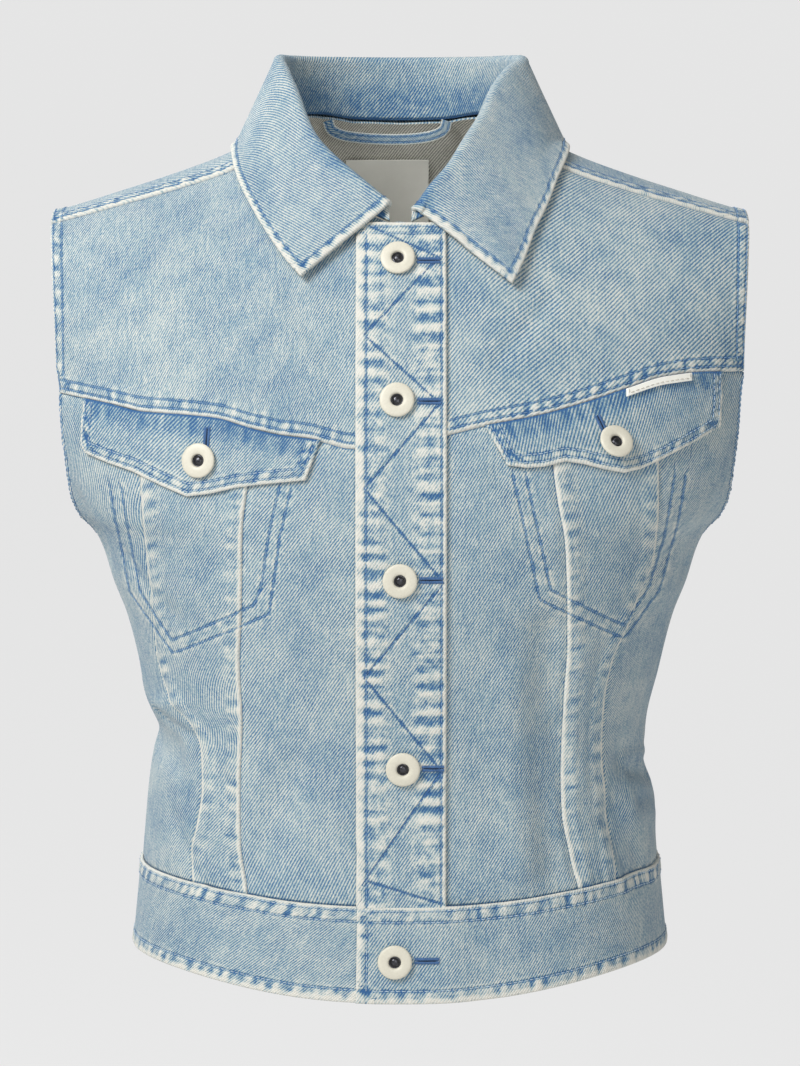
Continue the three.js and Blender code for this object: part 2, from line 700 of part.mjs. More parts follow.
// A chest flap hangs from the yoke seam and lies on the panels
function addFlap(name, topEdge, outline) {
  const low = alongStations(outline.map((row) => [row.x, row.z]));
  const high = (u) => {
    const x = lerp(topEdge.from, topEdge.to, u);
    return [x, yokeSeam(x) - 2 * GAP];
  };
  const patch = patchBetween(low, high, straight(low(0), high(0)), straight(low(1), high(1)));
  addWall(name, frontPoint, patch, { u: outline.length - 1, v: CELLS.flapRows }, LYING);
}

// How far outside the body a point lies, about, and the way out there
function bodyClearance(p) {
  const fill = (q) => {
    const isBack = q.y > 0;
    const roll = rollOf(isBack);
    const rise = Math.max((q.z - CHEST_Z) / (ridgeHeight(q.x) - CHEST_Z), 0);
    return rise ** roll.up + (Math.abs(q.y) / ringDepth(q.x, q.z, isBack)) ** roll.out;
  };
  const step = 0.4;
  const slope = new THREE.Vector3(...['x', 'y', 'z'].map((axis) => {
    const ahead = p.clone();
    const behind = p.clone();
    ahead[axis] += step;
    behind[axis] -= step;
    return (fill(ahead) - fill(behind)) / (2 * step);
  }));
  return { distance: (fill(p) - 1) / slope.length(), way: slope.normalize() };
}

function pushedOut(p, clearance) {
  const moved = p.clone();
  for (let i = 0; i < 5; i += 1) {
    const { distance, way } = bodyClearance(moved);
    if (distance < clearance) moved.addScaledVector(way, clearance - distance);
  }
  return moved;
}

// Clearance of the middle of the collar's fall: more where it lies on the placket
function fallClearance(x) {
  const onPlacket = 1 - THREE.MathUtils.smoothstep(Math.abs(x), FALL.placketTo, FALL.clearFrom);
  return COLLAR_CLOTH / 2 + FALL.clearance + onPlacket * FALL.onPlacket;
}

// The collar: a stand that rises from the neckline, a roll, and a fall that lies on the
// shoulders and the fronts
function addCollar() {
  const sections = [...collarSide(0).reverse(), ...collarSide(1).slice(1)];
  const columns = ['neck', 'fold', 'edge'].map((key) => (
    new THREE.CatmullRomCurve3(sections.map((section) => section[key]), false, 'centripetal')));
  const count = (sections.length - 1) * CELLS.collarSteps;
  const middle = evenly(count).map((u) => {
    const [neck, fold, edge] = columns.map((curve) => curve.getPoint(u));
    return collarSection(neck, fold, edge, columns[1].getTangent(u));
  });
  const faces = [1, -1].map((sign) => offsetGrid(middle, (sign * COLLAR_CLOTH) / 2));
  addMesh('collar', wallGeometry(faces[0], faces[1]), DENIM);
}

function collarSide(index) {
  const sign = index === 0 ? -1 : 1;
  return COLLAR.map((row, i) => ({
    neck: shoulderPoint(sign * NECKLINE[i].x, NECKLINE[i].phi),
    fold: new THREE.Vector3(...row.fold[index]),
    edge: new THREE.Vector3(...row.edge[index]),
  }));
}

// One section of the collar's middle, from the neck seam over the roll to the free edge
function collarSection(neck, fold, edge, tangent) {
  const upward = fold.clone().sub(neck).normalize();
  const outward = tangent.clone().cross(upward).normalize();
  if (outward.dot(edge.clone().sub(neck)) < 0) outward.negate();
  const crest = outward.clone().cross(tangent).normalize();
  if (crest.dot(upward) < 0) crest.negate();
  const centre = fold.clone().addScaledVector(crest, -ROLL.radius);
  const onRoll = (angle) => centre.clone()
    .addScaledVector(outward, ROLL.radius * Math.sin(radians(angle)))
    .addScaledVector(crest, ROLL.radius * Math.cos(radians(angle)));
  const roll = ROLL.angles.map(onRoll);
  const foot = neck.clone().addScaledVector(crest, STAND_LIFT);
  const stand = evenly(CELLS.stand).slice(0, -1).map((t) => foot.clone().lerp(roll[0], t));
  const fall = evenly(CELLS.fall).slice(1).map((t) => {
    const p = roll.at(-1).clone().lerp(edge, t);
    return pushedOut(p, fallClearance(p.x));
  });
  return [...stand, ...roll, ...fall];
}

// A grid moved along its own normals
function offsetGrid(grid, offset) {
  const rows = grid.length;
  const columns = grid[0].length;
  return grid.map((row, i) => row.map((p, j) => {
    const along = grid[Math.min(i + 1, rows - 1)][j].clone().sub(grid[Math.max(i - 1, 0)][j]);
    const across = grid[i][Math.min(j + 1, columns - 1)].clone().sub(grid[i][Math.max(j - 1, 0)]);
    return p.clone().addScaledVector(along.cross(across).normalize(), offset);
  }));
}

function addButton({ name, x, z, base, lean }) {
  const profile = BUTTON_PROFILE.map(({ r, h }) => new THREE.Vector2(r, h));
  const mesh = addMesh(name, new THREE.LatheGeometry(profile, BUTTON_SIDES), BUTTON_METAL);
  const normal = normalAt(frontPoint, x, z);
  const lift = BUTTON_SEAT_RADIUS * Math.sin(radians(lean));
  mesh.position.copy(frontPoint(x, z)).addScaledVector(normal, base + LIE + lift);
  const axis = new THREE.Vector3(-1, 0, 0);
  const face = normal.clone().applyAxisAngle(axis, radians(lean));
  mesh.quaternion.setFromUnitVectors(new THREE.Vector3(0, 1, 0), face);
}

// The hanger loop: a flat strip inside the back of the neck
function addLoop() {
  const path = new THREE.CatmullRomCurve3(LOOP.route.map((p) => new THREE.Vector3(...p)));
  const strip = evenly(CELLS.loop).map((t) => {
    const p = path.getPoint(t);
    const across = path.getTangent(t).cross(new THREE.Vector3(0, 1, 0)).normalize();
    return [-0.5, 0.5].map((k) => p.clone().addScaledVector(across, k * LOOP.width));
  });
  const faces = [1, -1].map((sign) => offsetGrid(strip, (sign * LOOP.thickness) / 2));
  addMesh('hanger_loop', wallGeometry(faces[0], faces[1]), DENIM_DEEP);
}

// The neck label lies inside the back yoke
function addLabel() {
  const outer = -CLOTH - LABEL.clearance;
  const patch = (u, v) => {
    const x = lerp(LABEL.left, LABEL.right, u);
    return [x, phiAt(x, lerp(LABEL.top, LABEL.bottom, v), true)];
  };
  addWall('neck_label', shoulderPoint, patch, CELLS.label, [outer - LABEL.thickness, outer], SATIN);
}

// The small tab hangs from the right yoke seam and lies on the flap
function addTab() {
  const patch = (u, v) => {
    const x = lerp(TAB.from, TAB.to, u);
    return [x, yokeSeam(x) - 2 * GAP - TAB.height * (1 - v)];
  };
  const base = ON_TOP + LIE;
  addWall('chest_tab', frontPoint, patch, CELLS.tab, [base, base + TAB.thickness], SATIN);
}

addFront(-1, 'left', CENTRE_SEAM_LEFT, SIDE_SEAM_LEFT, UNDERLAP);
addFront(1, 'right', CENTRE_SEAM_RIGHT, SIDE_SEAM_RIGHT, OVERLAP);
addBackYoke();
addBackPanel();
addWaistband();
const aboveBand = (x) => bandTop(thetaAt(x, BAND.top)) + GAP;
addPlacket('placket_upper', (x) => yokeSeam(x) + GAP, () => PLACKET.top, CELLS.placketUpperRows);
addPlacket('placket_lower', aboveBand, (x) => yokeSeam(x) - GAP, CELLS.placketLowerRows);
addCollar();
addFlap('flap_left', FLAP_LEFT_TOP, FLAP_LEFT);
addFlap('flap_right', FLAP_RIGHT_TOP, FLAP_RIGHT);
addTab();
addLoop();
addLabel();
BUTTONS.forEach(addButton);

export default vest;
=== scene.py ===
"""A cropped denim vest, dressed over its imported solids: cloth, seams, stitches and buttons.

Lengths are in millimetres until a mesh is made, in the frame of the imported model: +Z is up,
the front faces -Y and +X is to the viewer's right.
"""

import math

import bpy
import numpy as np
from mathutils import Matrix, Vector
from mathutils.bvhtree import BVHTree

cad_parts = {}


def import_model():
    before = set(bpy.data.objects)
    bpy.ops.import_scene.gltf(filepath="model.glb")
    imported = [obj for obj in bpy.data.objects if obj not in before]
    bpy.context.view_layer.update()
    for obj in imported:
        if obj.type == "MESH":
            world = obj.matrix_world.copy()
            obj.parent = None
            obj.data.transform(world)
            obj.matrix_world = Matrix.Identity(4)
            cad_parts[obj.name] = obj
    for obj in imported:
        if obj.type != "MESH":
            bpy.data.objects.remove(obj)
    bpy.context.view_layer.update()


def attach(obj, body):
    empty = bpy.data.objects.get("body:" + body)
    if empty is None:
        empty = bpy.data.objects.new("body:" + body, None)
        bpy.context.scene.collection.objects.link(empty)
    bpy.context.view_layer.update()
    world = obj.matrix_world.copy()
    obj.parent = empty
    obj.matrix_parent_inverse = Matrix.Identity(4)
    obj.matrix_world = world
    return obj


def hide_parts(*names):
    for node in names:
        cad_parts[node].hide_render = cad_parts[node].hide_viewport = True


MM = 0.001
FAR = 1000.0
SETTLE_ROUNDS = 8  # for a value that is found from itself, round by round

# Cloth
CELL = 2.0  # spacing of the cloth's grid
RIM = (0.35, 0.9, 1.7)  # closer grid lines along every edge
CLOTH = 1.3  # thickness of one shown layer
THINNEST = 0.3  # where a rim turns in
RIM_RADIUS = 1.1
OVERLAP = 0.35  # a panel runs this far past its seam line
LIE_OUTER = 2.15  # outer face of a piece that lies on a panel

# The body's rings: height, half width, and depth in front of and behind the side line
RINGS = [
    (-445, 144.5, 105, 100), (-390, 139, 103.5, 97), (-345, 135, 102, 90),
    (-312, 131.5, 104.5, 88), (-278, 138.5, 109, 91), (-250, 145.5, 113.5, 95.5),
    (-232, 152.5, 116, 99), (-213, 158.5, 117.5, 102.5), (-204, 163.3, 118, 104),
    (-196, 171, 117.8, 105), (-185, 178, 117.3, 106), (-170, 183.5, 116.5, 107),
    (-150, 189.5, 114.3, 107.8), (-120, 195, 110.5, 108), (-80, 212, 106, 107),
    (-60, 226, 103, 105.5), (-45, 262, 100, 104.5), (-36, 300, 98, 103.5),
    (12, 370, 93, 100), (40, 390, 91, 98),
]
RING_POWER = 2.4
RIDGE = [
    (0, 30), (40, 22), (66, 7.5), (72, 3.5), (90, -6.5), (119, -17.5), (143, -25.3),
    (183, -37.5), (210, -44),
]
CHEST_Z = -200  # the roll over the shoulders starts here
FRONT_ROLL = (2.2, 2)  # its powers, up and out
BACK_ROLL = (2.4, 3)
FORWARD_SEAM_NECK = -20.5  # degrees from the ridge, at the neck and at the armhole
FORWARD_SEAM_TIP = -16.5
YOKE_LAP = 0.2  # degrees that the back yoke runs past this seam
SHOULDER_STEPS = 6  # stations along the seam

# Armhole: an oval below its middle, and x over z above it
ARM_MIDDLE, ARM_DROP, ARM_SPREAD = -120, 84, 26.3
ARMHOLE_TOP = [(-120, 178.1), (-100, 178.8), (-80, 180), (-60, 181.5), (-36, 183.5), (-30, 184)]

# Neckline from the centre back round to the centre front: x and degrees from the ridge
NECKLINE = [
    (0, 26), (26, 22.5), (42, 17), (55, 9), (61.5, 1), (65, -9), (66, -20.5), (61, -26),
    (54, -30.5), (43, -37), (25, -45), (6, -48.9),
]
NECK_SIDE_ROW = 6

# Seams: the yoke's is z over x, the others are x over z
YOKE_SEAM = [
    (-180, -130.5), (-150, -135), (-130, -139), (-110, -140), (-92, -141.5), (-78, -145.5),
    (-60, -149.5), (-39, -152), (-20, -157.5), (4, -154), (41, -145), (71, -139.5), (92, -134),
    (113, -127.5), (134, -121.5), (156, -119.5), (180, -120),
]
CENTRE_SEAM = {
    -1: [(-390, -79), (-360, -83), (-330, -82.5), (-296, -81), (-268, -82), (-237, -80.5),
         (-196, -79.5), (-176, -77), (-140, -75)],
    1: [(-390, 94), (-365, 88.5), (-346, 85), (-320, 84), (-287, 84.5), (-257, 86), (-231, 85),
        (-204, 83.5), (-182, 79.5), (-130, 73)],
}
SIDE_SEAM = {
    -1: [(-390, -107.5), (-369, -108.5), (-354, -105), (-333, -102), (-314, -102.5),
         (-302, -107.5), (-289, -118), (-270, -125), (-248, -127), (-222, -129), (-172, -131.5),
         (-130, -131.5)],
    1: [(-390, 113), (-366, 110.5), (-340, 107), (-316, 104), (-289, 105), (-267, 109),
        (-247, 118), (-233, 123.5), (-214, 130), (-189, 131.5), (-115, 130)],
}
BACK_YOKE_Z = -120
BACK_SEAM = 146

# Folds run between two places in degrees round the ring and height, and have a width and a
# depth. The first are those of the solids.
LARGE_FOLDS = [
    (-100, -306, -62, -316, 10, -3), (-96, -288, -60, -297, 11, 1.8),
    (60, -322, 100, -334, 10, -3), (62, -350, 98, -353, 12, 1.5), (27, -250, 31, -375, 11, -2.4),
    (20, -275, 23, -368, 11, 1.4), (-21, -322, -29, -378, 11, -1.5),
    (52, -345, 63, -380, 9, -2), (150, -336, 170, -302, 13, -2.8),
    (192, -309, 213, -330, 13, -2.6), (166, -372, 181, -350, 12, -1.8),
    (161, -150, 172, -218, 15, -1.8), (200, -146, 189, -226, 15, -2),
    (118, -250, 135, -292, 13, -2.2), (-118, -262, -137, -287, 13, -2),
]
FINE_FOLDS = [
    (-66, -300, -52, -308, 3.5, -1.6), (-70, -296, -54, -290, 4, 1.2),
    (-80, -318, -58, -326, 5, -1.2), (64, -330, 82, -337, 4, -1.8), (62, -322, 80, -323, 4, 1.2),
    (66, -345, 88, -350, 5, -1.4), (-12, -80, -6, -118, 5, -0.9), (17, -84, 11, -112, 5, -0.9),
    (33, -300, 38, -376, 5, -1.1), (38, -262, 41, -330, 6, 0.9), (-38, -330, -33, -380, 5, -1),
    (-62, -215, -48, -244, 5, -1), (60, -205, 50, -236, 5, -1.1), (66, -190, 72, -222, 6, -1.2),
    (-68, -188, -76, -216, 6, -1.2), (-58, -352, -44, -384, 5, -1), (48, -352, 58, -384, 5, -1.1),
    (90, -210, 96, -262, 7, -1.4), (-90, -212, -98, -258, 7, -1.3), (104, -300, 124, -318, 6, -1.4),
    (-104, -312, -122, -296, 6, -1.3), (140, -352, 158, -372, 6, -1.2),
    (204, -362, 221, -346, 6, -1.2), (172, -264, 184, -286, 7, -1), (150, -214, 162, -240, 7, -1.1),
    (208, -220, 198, -246, 7, -1), (-8, -352, -3, -376, 5, -0.8), (12, -170, 20, -190, 6, -0.7),
]
FOLD_DEPTH = 1.3  # every fold's depth is multiplied by this

# Waistband, placket and flaps
BAND_TOP, BAND_TOP_DIP, BAND_HEM, BAND_HEM_DIP = -382, 8.8, -427.5, 13
BAND_DIP_POWER = 4.2
BAND_PROUD = 0.9  # the waistband stands out this far from the panels
BAND_LIFT = (22, 46)  # between these x its lap comes down to the body
BAND_END = -22
UNDERLAP, OVERLAP_X = 18, 20.6  # the left and right fronts' edges
PLACKET_LEFT, PLACKET_RIGHT, PLACKET_TOP = -22.3, 23.5, -44.2
FLAPS = {
    "flap_left": {
        "top": (-162, -39.6),
        "low": [(-162.5, -157), (-160, -161.3), (-148, -165.5), (-135, -169.3), (-121, -175.5),
                (-107, -181), (-95, -179.3), (-84, -176.5), (-73, -174.7), (-59, -173.2),
                (-47, -172)],
    },
    "flap_right": {
        "top": (42.3, 165.5),
        "low": [(53.6, -164.6), (63, -166), (72, -165.5), (83, -163), (92, -164.5),
                (102, -167.2), (112.5, -169.3), (121, -167.5), (131, -163.5), (147, -156),
                (163, -148)],
    },
}

# Collar sections from the centre back to the centre front: the roll's top and the free edge,
# on the left and on the right
COLLAR = [
    ((0, 64, 45), (0, 64, 45), (0, 78, -7), (0, 78, -7)),
    ((-26, 60, 45), (26, 60, 45), (-32, 76, -8), (32, 76, -8)),
    ((-47, 48, 44.8), (47, 48, 44.8), (-59, 64, -8), (59, 64, -8)),
    ((-60.5, 29, 44.6), (61, 29, 44.6), (-78, 37, -7), (78, 37, -7)),
    ((-64, 10, 43.5), (65, 10, 43), (-87, 8, -4), (88, 8, -4)),
    ((-60, -3, 37), (56.5, -3, 37), (-86, -20, -12), (86, -20, -12)),
    ((-54, -18, 24.6), (48, -18, 25.8), (-83, -44, -23), (81, -44, -22)),
    ((-48.7, -34, 10.7), (41.7, -34, 12), (-76, -60, -36), (75.5, -60, -35)),
    ((-43, -46, 0), (33, -51, -1.6), (-68.7, -72, -47.5), (69, -72, -47.5)),
    ((-33.5, -57, -10.2), (24.5, -63, -15), (-60, -82, -59.5), (64, -81, -60)),
    ((-19.4, -68, -22), (15, -71.5, -26), (-54, -88, -66.5), (60, -88, -68.5)),
    ((-5, -75, -34), (8, -77, -37), (-50, -91, -70.5), (56.7, -91, -74)),
]
ROLL_RADIUS = 2.7
STAND_LIFT = 1.4
STAND_COLUMNS = 13
ROLL_COLUMN = STAND_COLUMNS + 4  # the grid's column along the roll's top
COLLAR_ARC = 255  # the roll's radius once the collar lies flat
FALL_CLEARANCE = 2.2  # from the body to the collar's fall
OVER_PLACKET = 2.4  # more clearance over the placket,
PLACKET_REACH = (28, 42)  # which fades between these distances from the vest's middle

# Puckers of the cloth beside a seam, from two waves along it, each a period and a share
PUCKER_HEIGHT = 0.34
PUCKER_LIMIT = 1.3
PUCKER_WAVES = ((6.5, 0.75), (11, 0.55))

# How a cloth edge looks: the width of its pale worn strip, the distances of its stitch rows (a row
# without thread is a dark line of painted shadow beside a lapped edge), the height and reach of its
# raised allowance, how far the rim turns in, its puckers, its painted dark blue shade and its
# thread
EDGE_FIELDS = ("worn", "rows", "swell", "reach", "roll", "pucker", "shade", "thread")
EDGE_TABLE = {
    "ridge": (2.0, (), 0.7, 10, 1.5, 0.5, 0, None),
    "lapped": (2.1, (2.9, 7.4), 0.7, 9.5, 1.5, 0.8, 0, "thread_blue"),
    # under: its row has no thread and is a dark line of painted shadow below a lapping edge
    "under": (0, (0.3,), -0.6, 2.6, 0.8, 0.3, 0, None),
    "free": (2.3, (2.6, 6.6), 0.35, 8.5, 0.8, 0.8, 0, "thread_pale"),
    "armhole": (1.6, (1.6, 6.4), 0.5, 7.6, 0.9, 0.7, 0, "thread_blue"),
    "placket_left": (3.6, (5.4,), 0.3, 17, 0.8, 1.1, 0, "thread_blue"),
    "placket_right": (2.4, (2.6,), 0.2, 17, 1.2, 1.1, 0, "thread_blue"),
    "band_top": (1.8, (1.7, 7.6), 0.3, 9, 0.9, 1.0, 0, "thread_pale"),
    "band_hem": (3.0, (6.8,), 0.4, 8, 0.9, 1.0, 0, "thread_pale"),
    "band_end": (2.6, (5.3,), 0.2, 8, 0.9, 0.8, 0, "thread_pale"),
    "collar": (2.6, (4.6,), 0.3, 6, 0.9, 0.8, 0, "thread_blue"),
    # collar_foot and flap_top: a line of painted shadow at the edge, and painted shade on the
    # collar's stand and below the yoke's lapped edge
    "collar_foot": (0, (0.3,), 0, 20, 0, 0, 0.8, None),
    "flap_top": (0, (0.3,), -0.5, 11, 0.6, 0.5, 1, None),
    "tape": (0.9, (1.3,), 0, 1, 0.4, 0, 0, "thread_blue"),
    "satin": (0, (1.4,), 0, 1, 0.2, 0, 0, "thread_cream"),
    "hidden": (0, (), 0, 1, 0, 0, 0, None),
}
EDGES = {kind: dict(zip(EDGE_FIELDS, row)) for kind, row in EDGE_TABLE.items()}

# The sides of a sheet's grid, and the two that each one meets
SIDES = ("start", "end", "low", "high")
BESIDE = {"start": SIDES[2:], "end": SIDES[2:], "low": SIDES[:2], "high": SIDES[:2]}

# Stitching that crosses several pieces of the front, as places x, z
LINE_LIMIT = 6.0  # farther from a line of stitches, the distance says no more than this
ZIGZAG = [
    (-15.9, -45), (19.7, -60.9), (-18.1, -99.6), (20, -133.5), (-18, -175.6), (22, -223.1),
    (-18.2, -271.7), (21.3, -320.8), (-17.6, -376.8), (22, -389),
]
POCKET_ROWS = [
    [(-54.6, -176), (-60.2, -199.9), (-64, -226.5), (-66, -239.9), (-117, -264.2),
     (-140.3, -234.7), (-144.2, -209.8), (-148.3, -178)],
    [(-60.6, -176), (-66, -199.9), (-70, -226.5), (-73.6, -235.5), (-117.4, -257.3),
     (-134.3, -233), (-138.2, -209.8), (-142, -178)],
    [(56.6, -169.3), (70.5, -232.8), (115.3, -256), (134, -232), (141, -205), (146, -172)],
    [(63, -169.3), (76, -227.8), (114.8, -249), (128, -230), (135, -205), (140, -170)],
]

# Tables of lengths around the plain body, and the side panels' columns
RING_ANGLES = np.linspace(-180, 180, 181)
RING_HEIGHTS = np.linspace(BAND_HEM - 20, -60, 60)
YOKE_STEPS = 9  # stations of the side panel's top on each side of the armhole
COLUMN_LEAN = 0.16
SIDE_MIDDLE = 105  # degrees round the ring to the middle of a side panel

# Hanger loop, label and tab
LOOP = [
    (-39, 43.6, 11.2), (-37.3, 43.2, 6.5), (-32, 43, 3.6), (-20, 48, 1.8), (-4, 50.5, 1.2),
    (10, 50, 1.8), (19, 48.3, 3.6), (24, 48.6, 6.5), (25.5, 49.3, 11.2),
]
LOOP_WIDTH, LOOP_CLOTH = 6, 1.5
SMALL_RIM = (0.2, 0.5)
LABEL_X, LABEL_Z = (-30, 16), (-8, -45)
LABEL_OFFSET, LABEL_CLOTH = -2.6, 0.6
TAB_X, TAB_HEIGHT, TAB_OUTER, TAB_CLOTH = (113.5, 147.5), 4, 3.3, 0.8

# Stitches, by the groups that are joined into one mesh, and buttonholes
STITCH_PITCH, STITCH_LENGTH, STITCH_RADIUS = 2.9, 2.3, 0.27
STITCH_RINGS = [(-0.5, 0.25), (-0.36, 0.85), (0, 1), (0.36, 0.85), (0.5, 0.25)]
STITCH_SIDES = 5
STITCH_GROUPS = {
    "front": ("front_yoke", "front_centre", "front_middle", "placket"),
    "flaps": ("flap", "chest_tab"),
    "body": ("side", "back_panel", "back_yoke"),
    "waistband": ("waistband",),
    "collar": ("collar", "hanger_loop", "neck_label"),
}
HOLES = [
    ((8.6, -62.6), (20.6, -62.6)), ((8.6, -132.5), (20.8, -132.5)),
    ((9.6, -221.7), (21.6, -221.7)), ((11, -319), (22.4, -319)), ((7.4, -418), (20.2, -418)),
    ((-96.8, -146), (-97.6, -157)), ((99.3, -140.1), (103.6, -149.2)),
]
FRONT_NAMES = ("front", "side", "placket", "flap", "waistband")

# Buttons: radius and height of the ring, and each one's place, seat and lean
BUTTON_PROFILE = [
    (0.05, 0), (7.4, 0), (8.3, 0.35), (8.72, 0.9), (8.8, 1.4), (8.62, 1.9), (8.2, 2.2),
    (7.4, 2.38), (6.2, 2.52), (5, 2.56), (4.1, 2.48), (3.55, 2.25), (3.2, 1.8), (3.08, 1.1),
    (3.02, 0.75), (2.8, 0.65), (2.3, 0.75), (1.95, 1.15), (1.6, 1.5), (1, 1.72), (0.05, 1.78),
]
BUTTON_STUD_ROW = 13
BUTTON_SIDES = 64
BUTTON_SEAT_RADIUS = 6.4
BUTTON_LIE = 0.35
BUTTONS = [
    ("button_1", -1, -62.6, LIE_OUTER, 0), ("button_2", -1.5, -132.5, LIE_OUTER, 0),
    ("button_3", 0, -221.7, LIE_OUTER, 0), ("button_4", 1.5, -319, LIE_OUTER, 0),
    ("button_5", -2.6, -418.5, LIE_OUTER + 0.6, 0),
    ("button_flap_left", -100.4, -163, LIE_OUTER, 0),
    ("button_flap_right", 107, -154.2, LIE_OUTER, 22),
]

# Studio
CAMERA_Y, CAMERA_Z, CAMERA_PITCH, LENS = -1.8, -0.040, 5.3656, 114.12
FLOOR_Z, FLOOR_FRONT, WALL_Y, WALL_TOP = -0.95, -4.0, 3.0, 4.0
CURVE_RADIUS = 1.2
BACKDROP_GLOW = 0.715
WORLD_COLOUR, WORLD_STRENGTH = (0.98, 0.99, 1, 1), 0.14
LIGHTS = [
    # name, place, where it points, size, watts
    ("key", (-1.4, -1.6, 1.3), (0, 0, -0.2), 1.1, 64),
    ("fill", (0.5, -2.1, 0.1), (0, 0, -0.25), 1.2, 12),
    ("top", (-0.2, 0.1, 1.7), (0, 0, -0.2), 1.2, 8),
    ("behind", (-1.2, 1.5, 0.8), (0, 0, -0.1), 1.2, 20),
]

# Weave
TWILL_TURN = math.radians(34)  # the twill's lines rise to the right at 56 degrees
TWILL_PERIOD = 1.35  # millimetres
WAVE_UNIT = 2 * math.pi / 20  # Blender's wave texture has this period at a scale of 1

# Colours, linear
DEEP = (0.035, 0.112, 0.265, 1)
MID = (0.122, 0.235, 0.335, 1)
LIGHT = (0.325, 0.415, 0.43, 1)
PALE = (0.55, 0.58, 0.555, 1)
CREAM = (0.67, 0.655, 0.59, 1)


# Curves and the body's surface

def table_curve(rows, value=1):
    """Smooth curve through two columns of a table, with no overshoot between its rows."""
    table = np.array(rows, float)
    at, to = table[:, 0], table[:, value]
    step = np.diff(at)
    rise = np.diff(to) / step
    slope = np.concatenate([rise[:1], np.zeros(len(at) - 2), rise[-1:]])
    for i in range(1, len(at) - 1):
        if rise[i - 1] * rise[i] > 0:
            near = 2 * step[i] + step[i - 1]
            far = step[i] + 2 * step[i - 1]
            slope[i] = (near + far) / (near / rise[i - 1] + far / rise[i])

    def curve(a):
        a = np.clip(a, at[0], at[-1])
        i = np.clip(np.searchsorted(at, a) - 1, 0, len(at) - 2)
        t = (a - at[i]) / step[i]
        ease = t * t * (3 - 2 * t)
        bend = step[i] * t * (1 - t) * (slope[i] * (1 - t) - slope[i + 1] * t)
        return to[i] + (to[i + 1] - to[i]) * ease + bend

    return curve


half_width = table_curve(RINGS, 1)
front_depth = table_curve(RINGS, 2)
back_depth = table_curve(RINGS, 3)
ridge_table = table_curve(RIDGE)
armhole_top = table_curve(ARMHOLE_TOP)
yoke_seam = table_curve(YOKE_SEAM)


def ridge_height(x):
    return ridge_table(np.abs(x))


def smooth(low, high, value):
    t = np.clip((value - low) / (high - low), 0, 1)
    return t * t * (3 - 2 * t)


def signed_power(value, power):
    return np.sign(value) * np.abs(value) ** power


def smaller(a, b):
    """The one that is nearer to nought, point by point."""
    return np.where(np.abs(a) < np.abs(b), a, b)


def unit(vectors):
    return vectors / np.maximum(np.linalg.norm(vectors, axis=-1, keepdims=True), 1e-9)


def reach_of(is_back, z):
    return np.where(is_back, back_depth(z), front_depth(z))


def roll_of(is_back):
    up = np.where(is_back, BACK_ROLL[0], FRONT_ROLL[0])
    out = np.where(is_back, BACK_ROLL[1], FRONT_ROLL[1])
    return up, out


def rise_at(x, z):
    return np.clip((z - CHEST_Z) / (ridge_height(x) - CHEST_Z), 0, 1)


def ring_depth(x, z, is_back):
    spread = np.minimum(np.abs(x) / half_width(z), 1)
    return reach_of(is_back, z) * (1 - spread ** RING_POWER) ** (1 / RING_POWER)


def shoulder_roll(x, z, is_back):
    up, out = roll_of(is_back)
    return (1 - rise_at(x, z) ** up) ** (1 / out)


def plain_ring_point(theta, z):
    theta, z = np.broadcast_arrays(np.asarray(theta, float), np.asarray(z, float))
    cosine = np.cos(np.radians(theta))
    is_back = cosine < 0
    x = half_width(z) * signed_power(np.sin(np.radians(theta)), 2 / RING_POWER)
    depth = reach_of(is_back, z) * shoulder_roll(x, z, is_back)
    return np.stack([x, -signed_power(cosine, 2 / RING_POWER) * depth, z], -1)


def fold_line(fold):
    theta_a, z_a, theta_b, z_b, width, depth = fold
    ends = plain_ring_point(theta_a, z_a), plain_ring_point(theta_b, z_b)
    return *ends, width, depth * FOLD_DEPTH


FOLD_LINES = [fold_line(fold) for fold in LARGE_FOLDS + FINE_FOLDS]


def folded(p):
    """Points of the plain body, moved out or in where a fold passes them."""
    reach = reach_of(p[..., 1] > 0, p[..., 2])
    out = np.stack([p[..., 0] / half_width(p[..., 2]) ** 2, p[..., 1] / reach ** 2,
                    np.zeros_like(reach)], -1)
    depth = np.zeros(p.shape[:-1])
    for a, b, width, amount in FOLD_LINES:
        along = np.clip((p - a) @ (b - a) / ((b - a) @ (b - a)), 0, 1)
        far = np.linalg.norm(p - a - along[..., None] * (b - a), axis=-1)
        depth += amount * np.exp(-((far / width) ** 2))
    return p + unit(out) * depth[..., None]


def ring_point(theta, z):
    return folded(plain_ring_point(theta, z))


def shoulder_point(x, phi):
    x, phi = np.broadcast_arrays(np.asarray(x, float), np.asarray(phi, float))
    is_back = phi > 0
    up, out = roll_of(is_back)
    z = CHEST_Z + (ridge_height(x) - CHEST_Z) * np.cos(np.radians(phi)) ** (2 / up)
    y = ring_depth(x, z, is_back) * signed_power(np.sin(np.radians(phi)), 2 / out)
    return folded(np.stack([x, y, z], -1))


def front_point(x, z):
    x, z = np.broadcast_arrays(np.asarray(x, float), np.asarray(z, float))
    depth = ring_depth(x, z, False) * shoulder_roll(x, z, False)
    return folded(np.stack([x, -depth, z], -1))


def theta_at(x, z):
    spread = np.minimum(np.abs(x) / half_width(z), 1) ** (RING_POWER / 2)
    return np.sign(x) * np.degrees(np.arcsin(spread))


def phi_at(x, z, is_back):
    up, _ = roll_of(is_back)
    angle = np.degrees(np.arccos(rise_at(x, z) ** (up / 2)))
    return np.where(is_back, angle, -angle)


def armhole_low(angle, side):
    around = 90 - ARM_SPREAD * np.cos(np.radians(angle))
    return side * around, ARM_MIDDLE - ARM_DROP * np.sin(np.radians(angle))


def armhole_x(z):
    angle = np.degrees(np.arcsin(np.clip((ARM_MIDDLE - z) / ARM_DROP, 0, 1)))
    theta, _ = armhole_low(angle, 1)
    low = half_width(z) * np.sin(np.radians(theta)) ** (2 / RING_POWER)
    return np.where(np.asarray(z) >= ARM_MIDDLE, armhole_top(z), low)


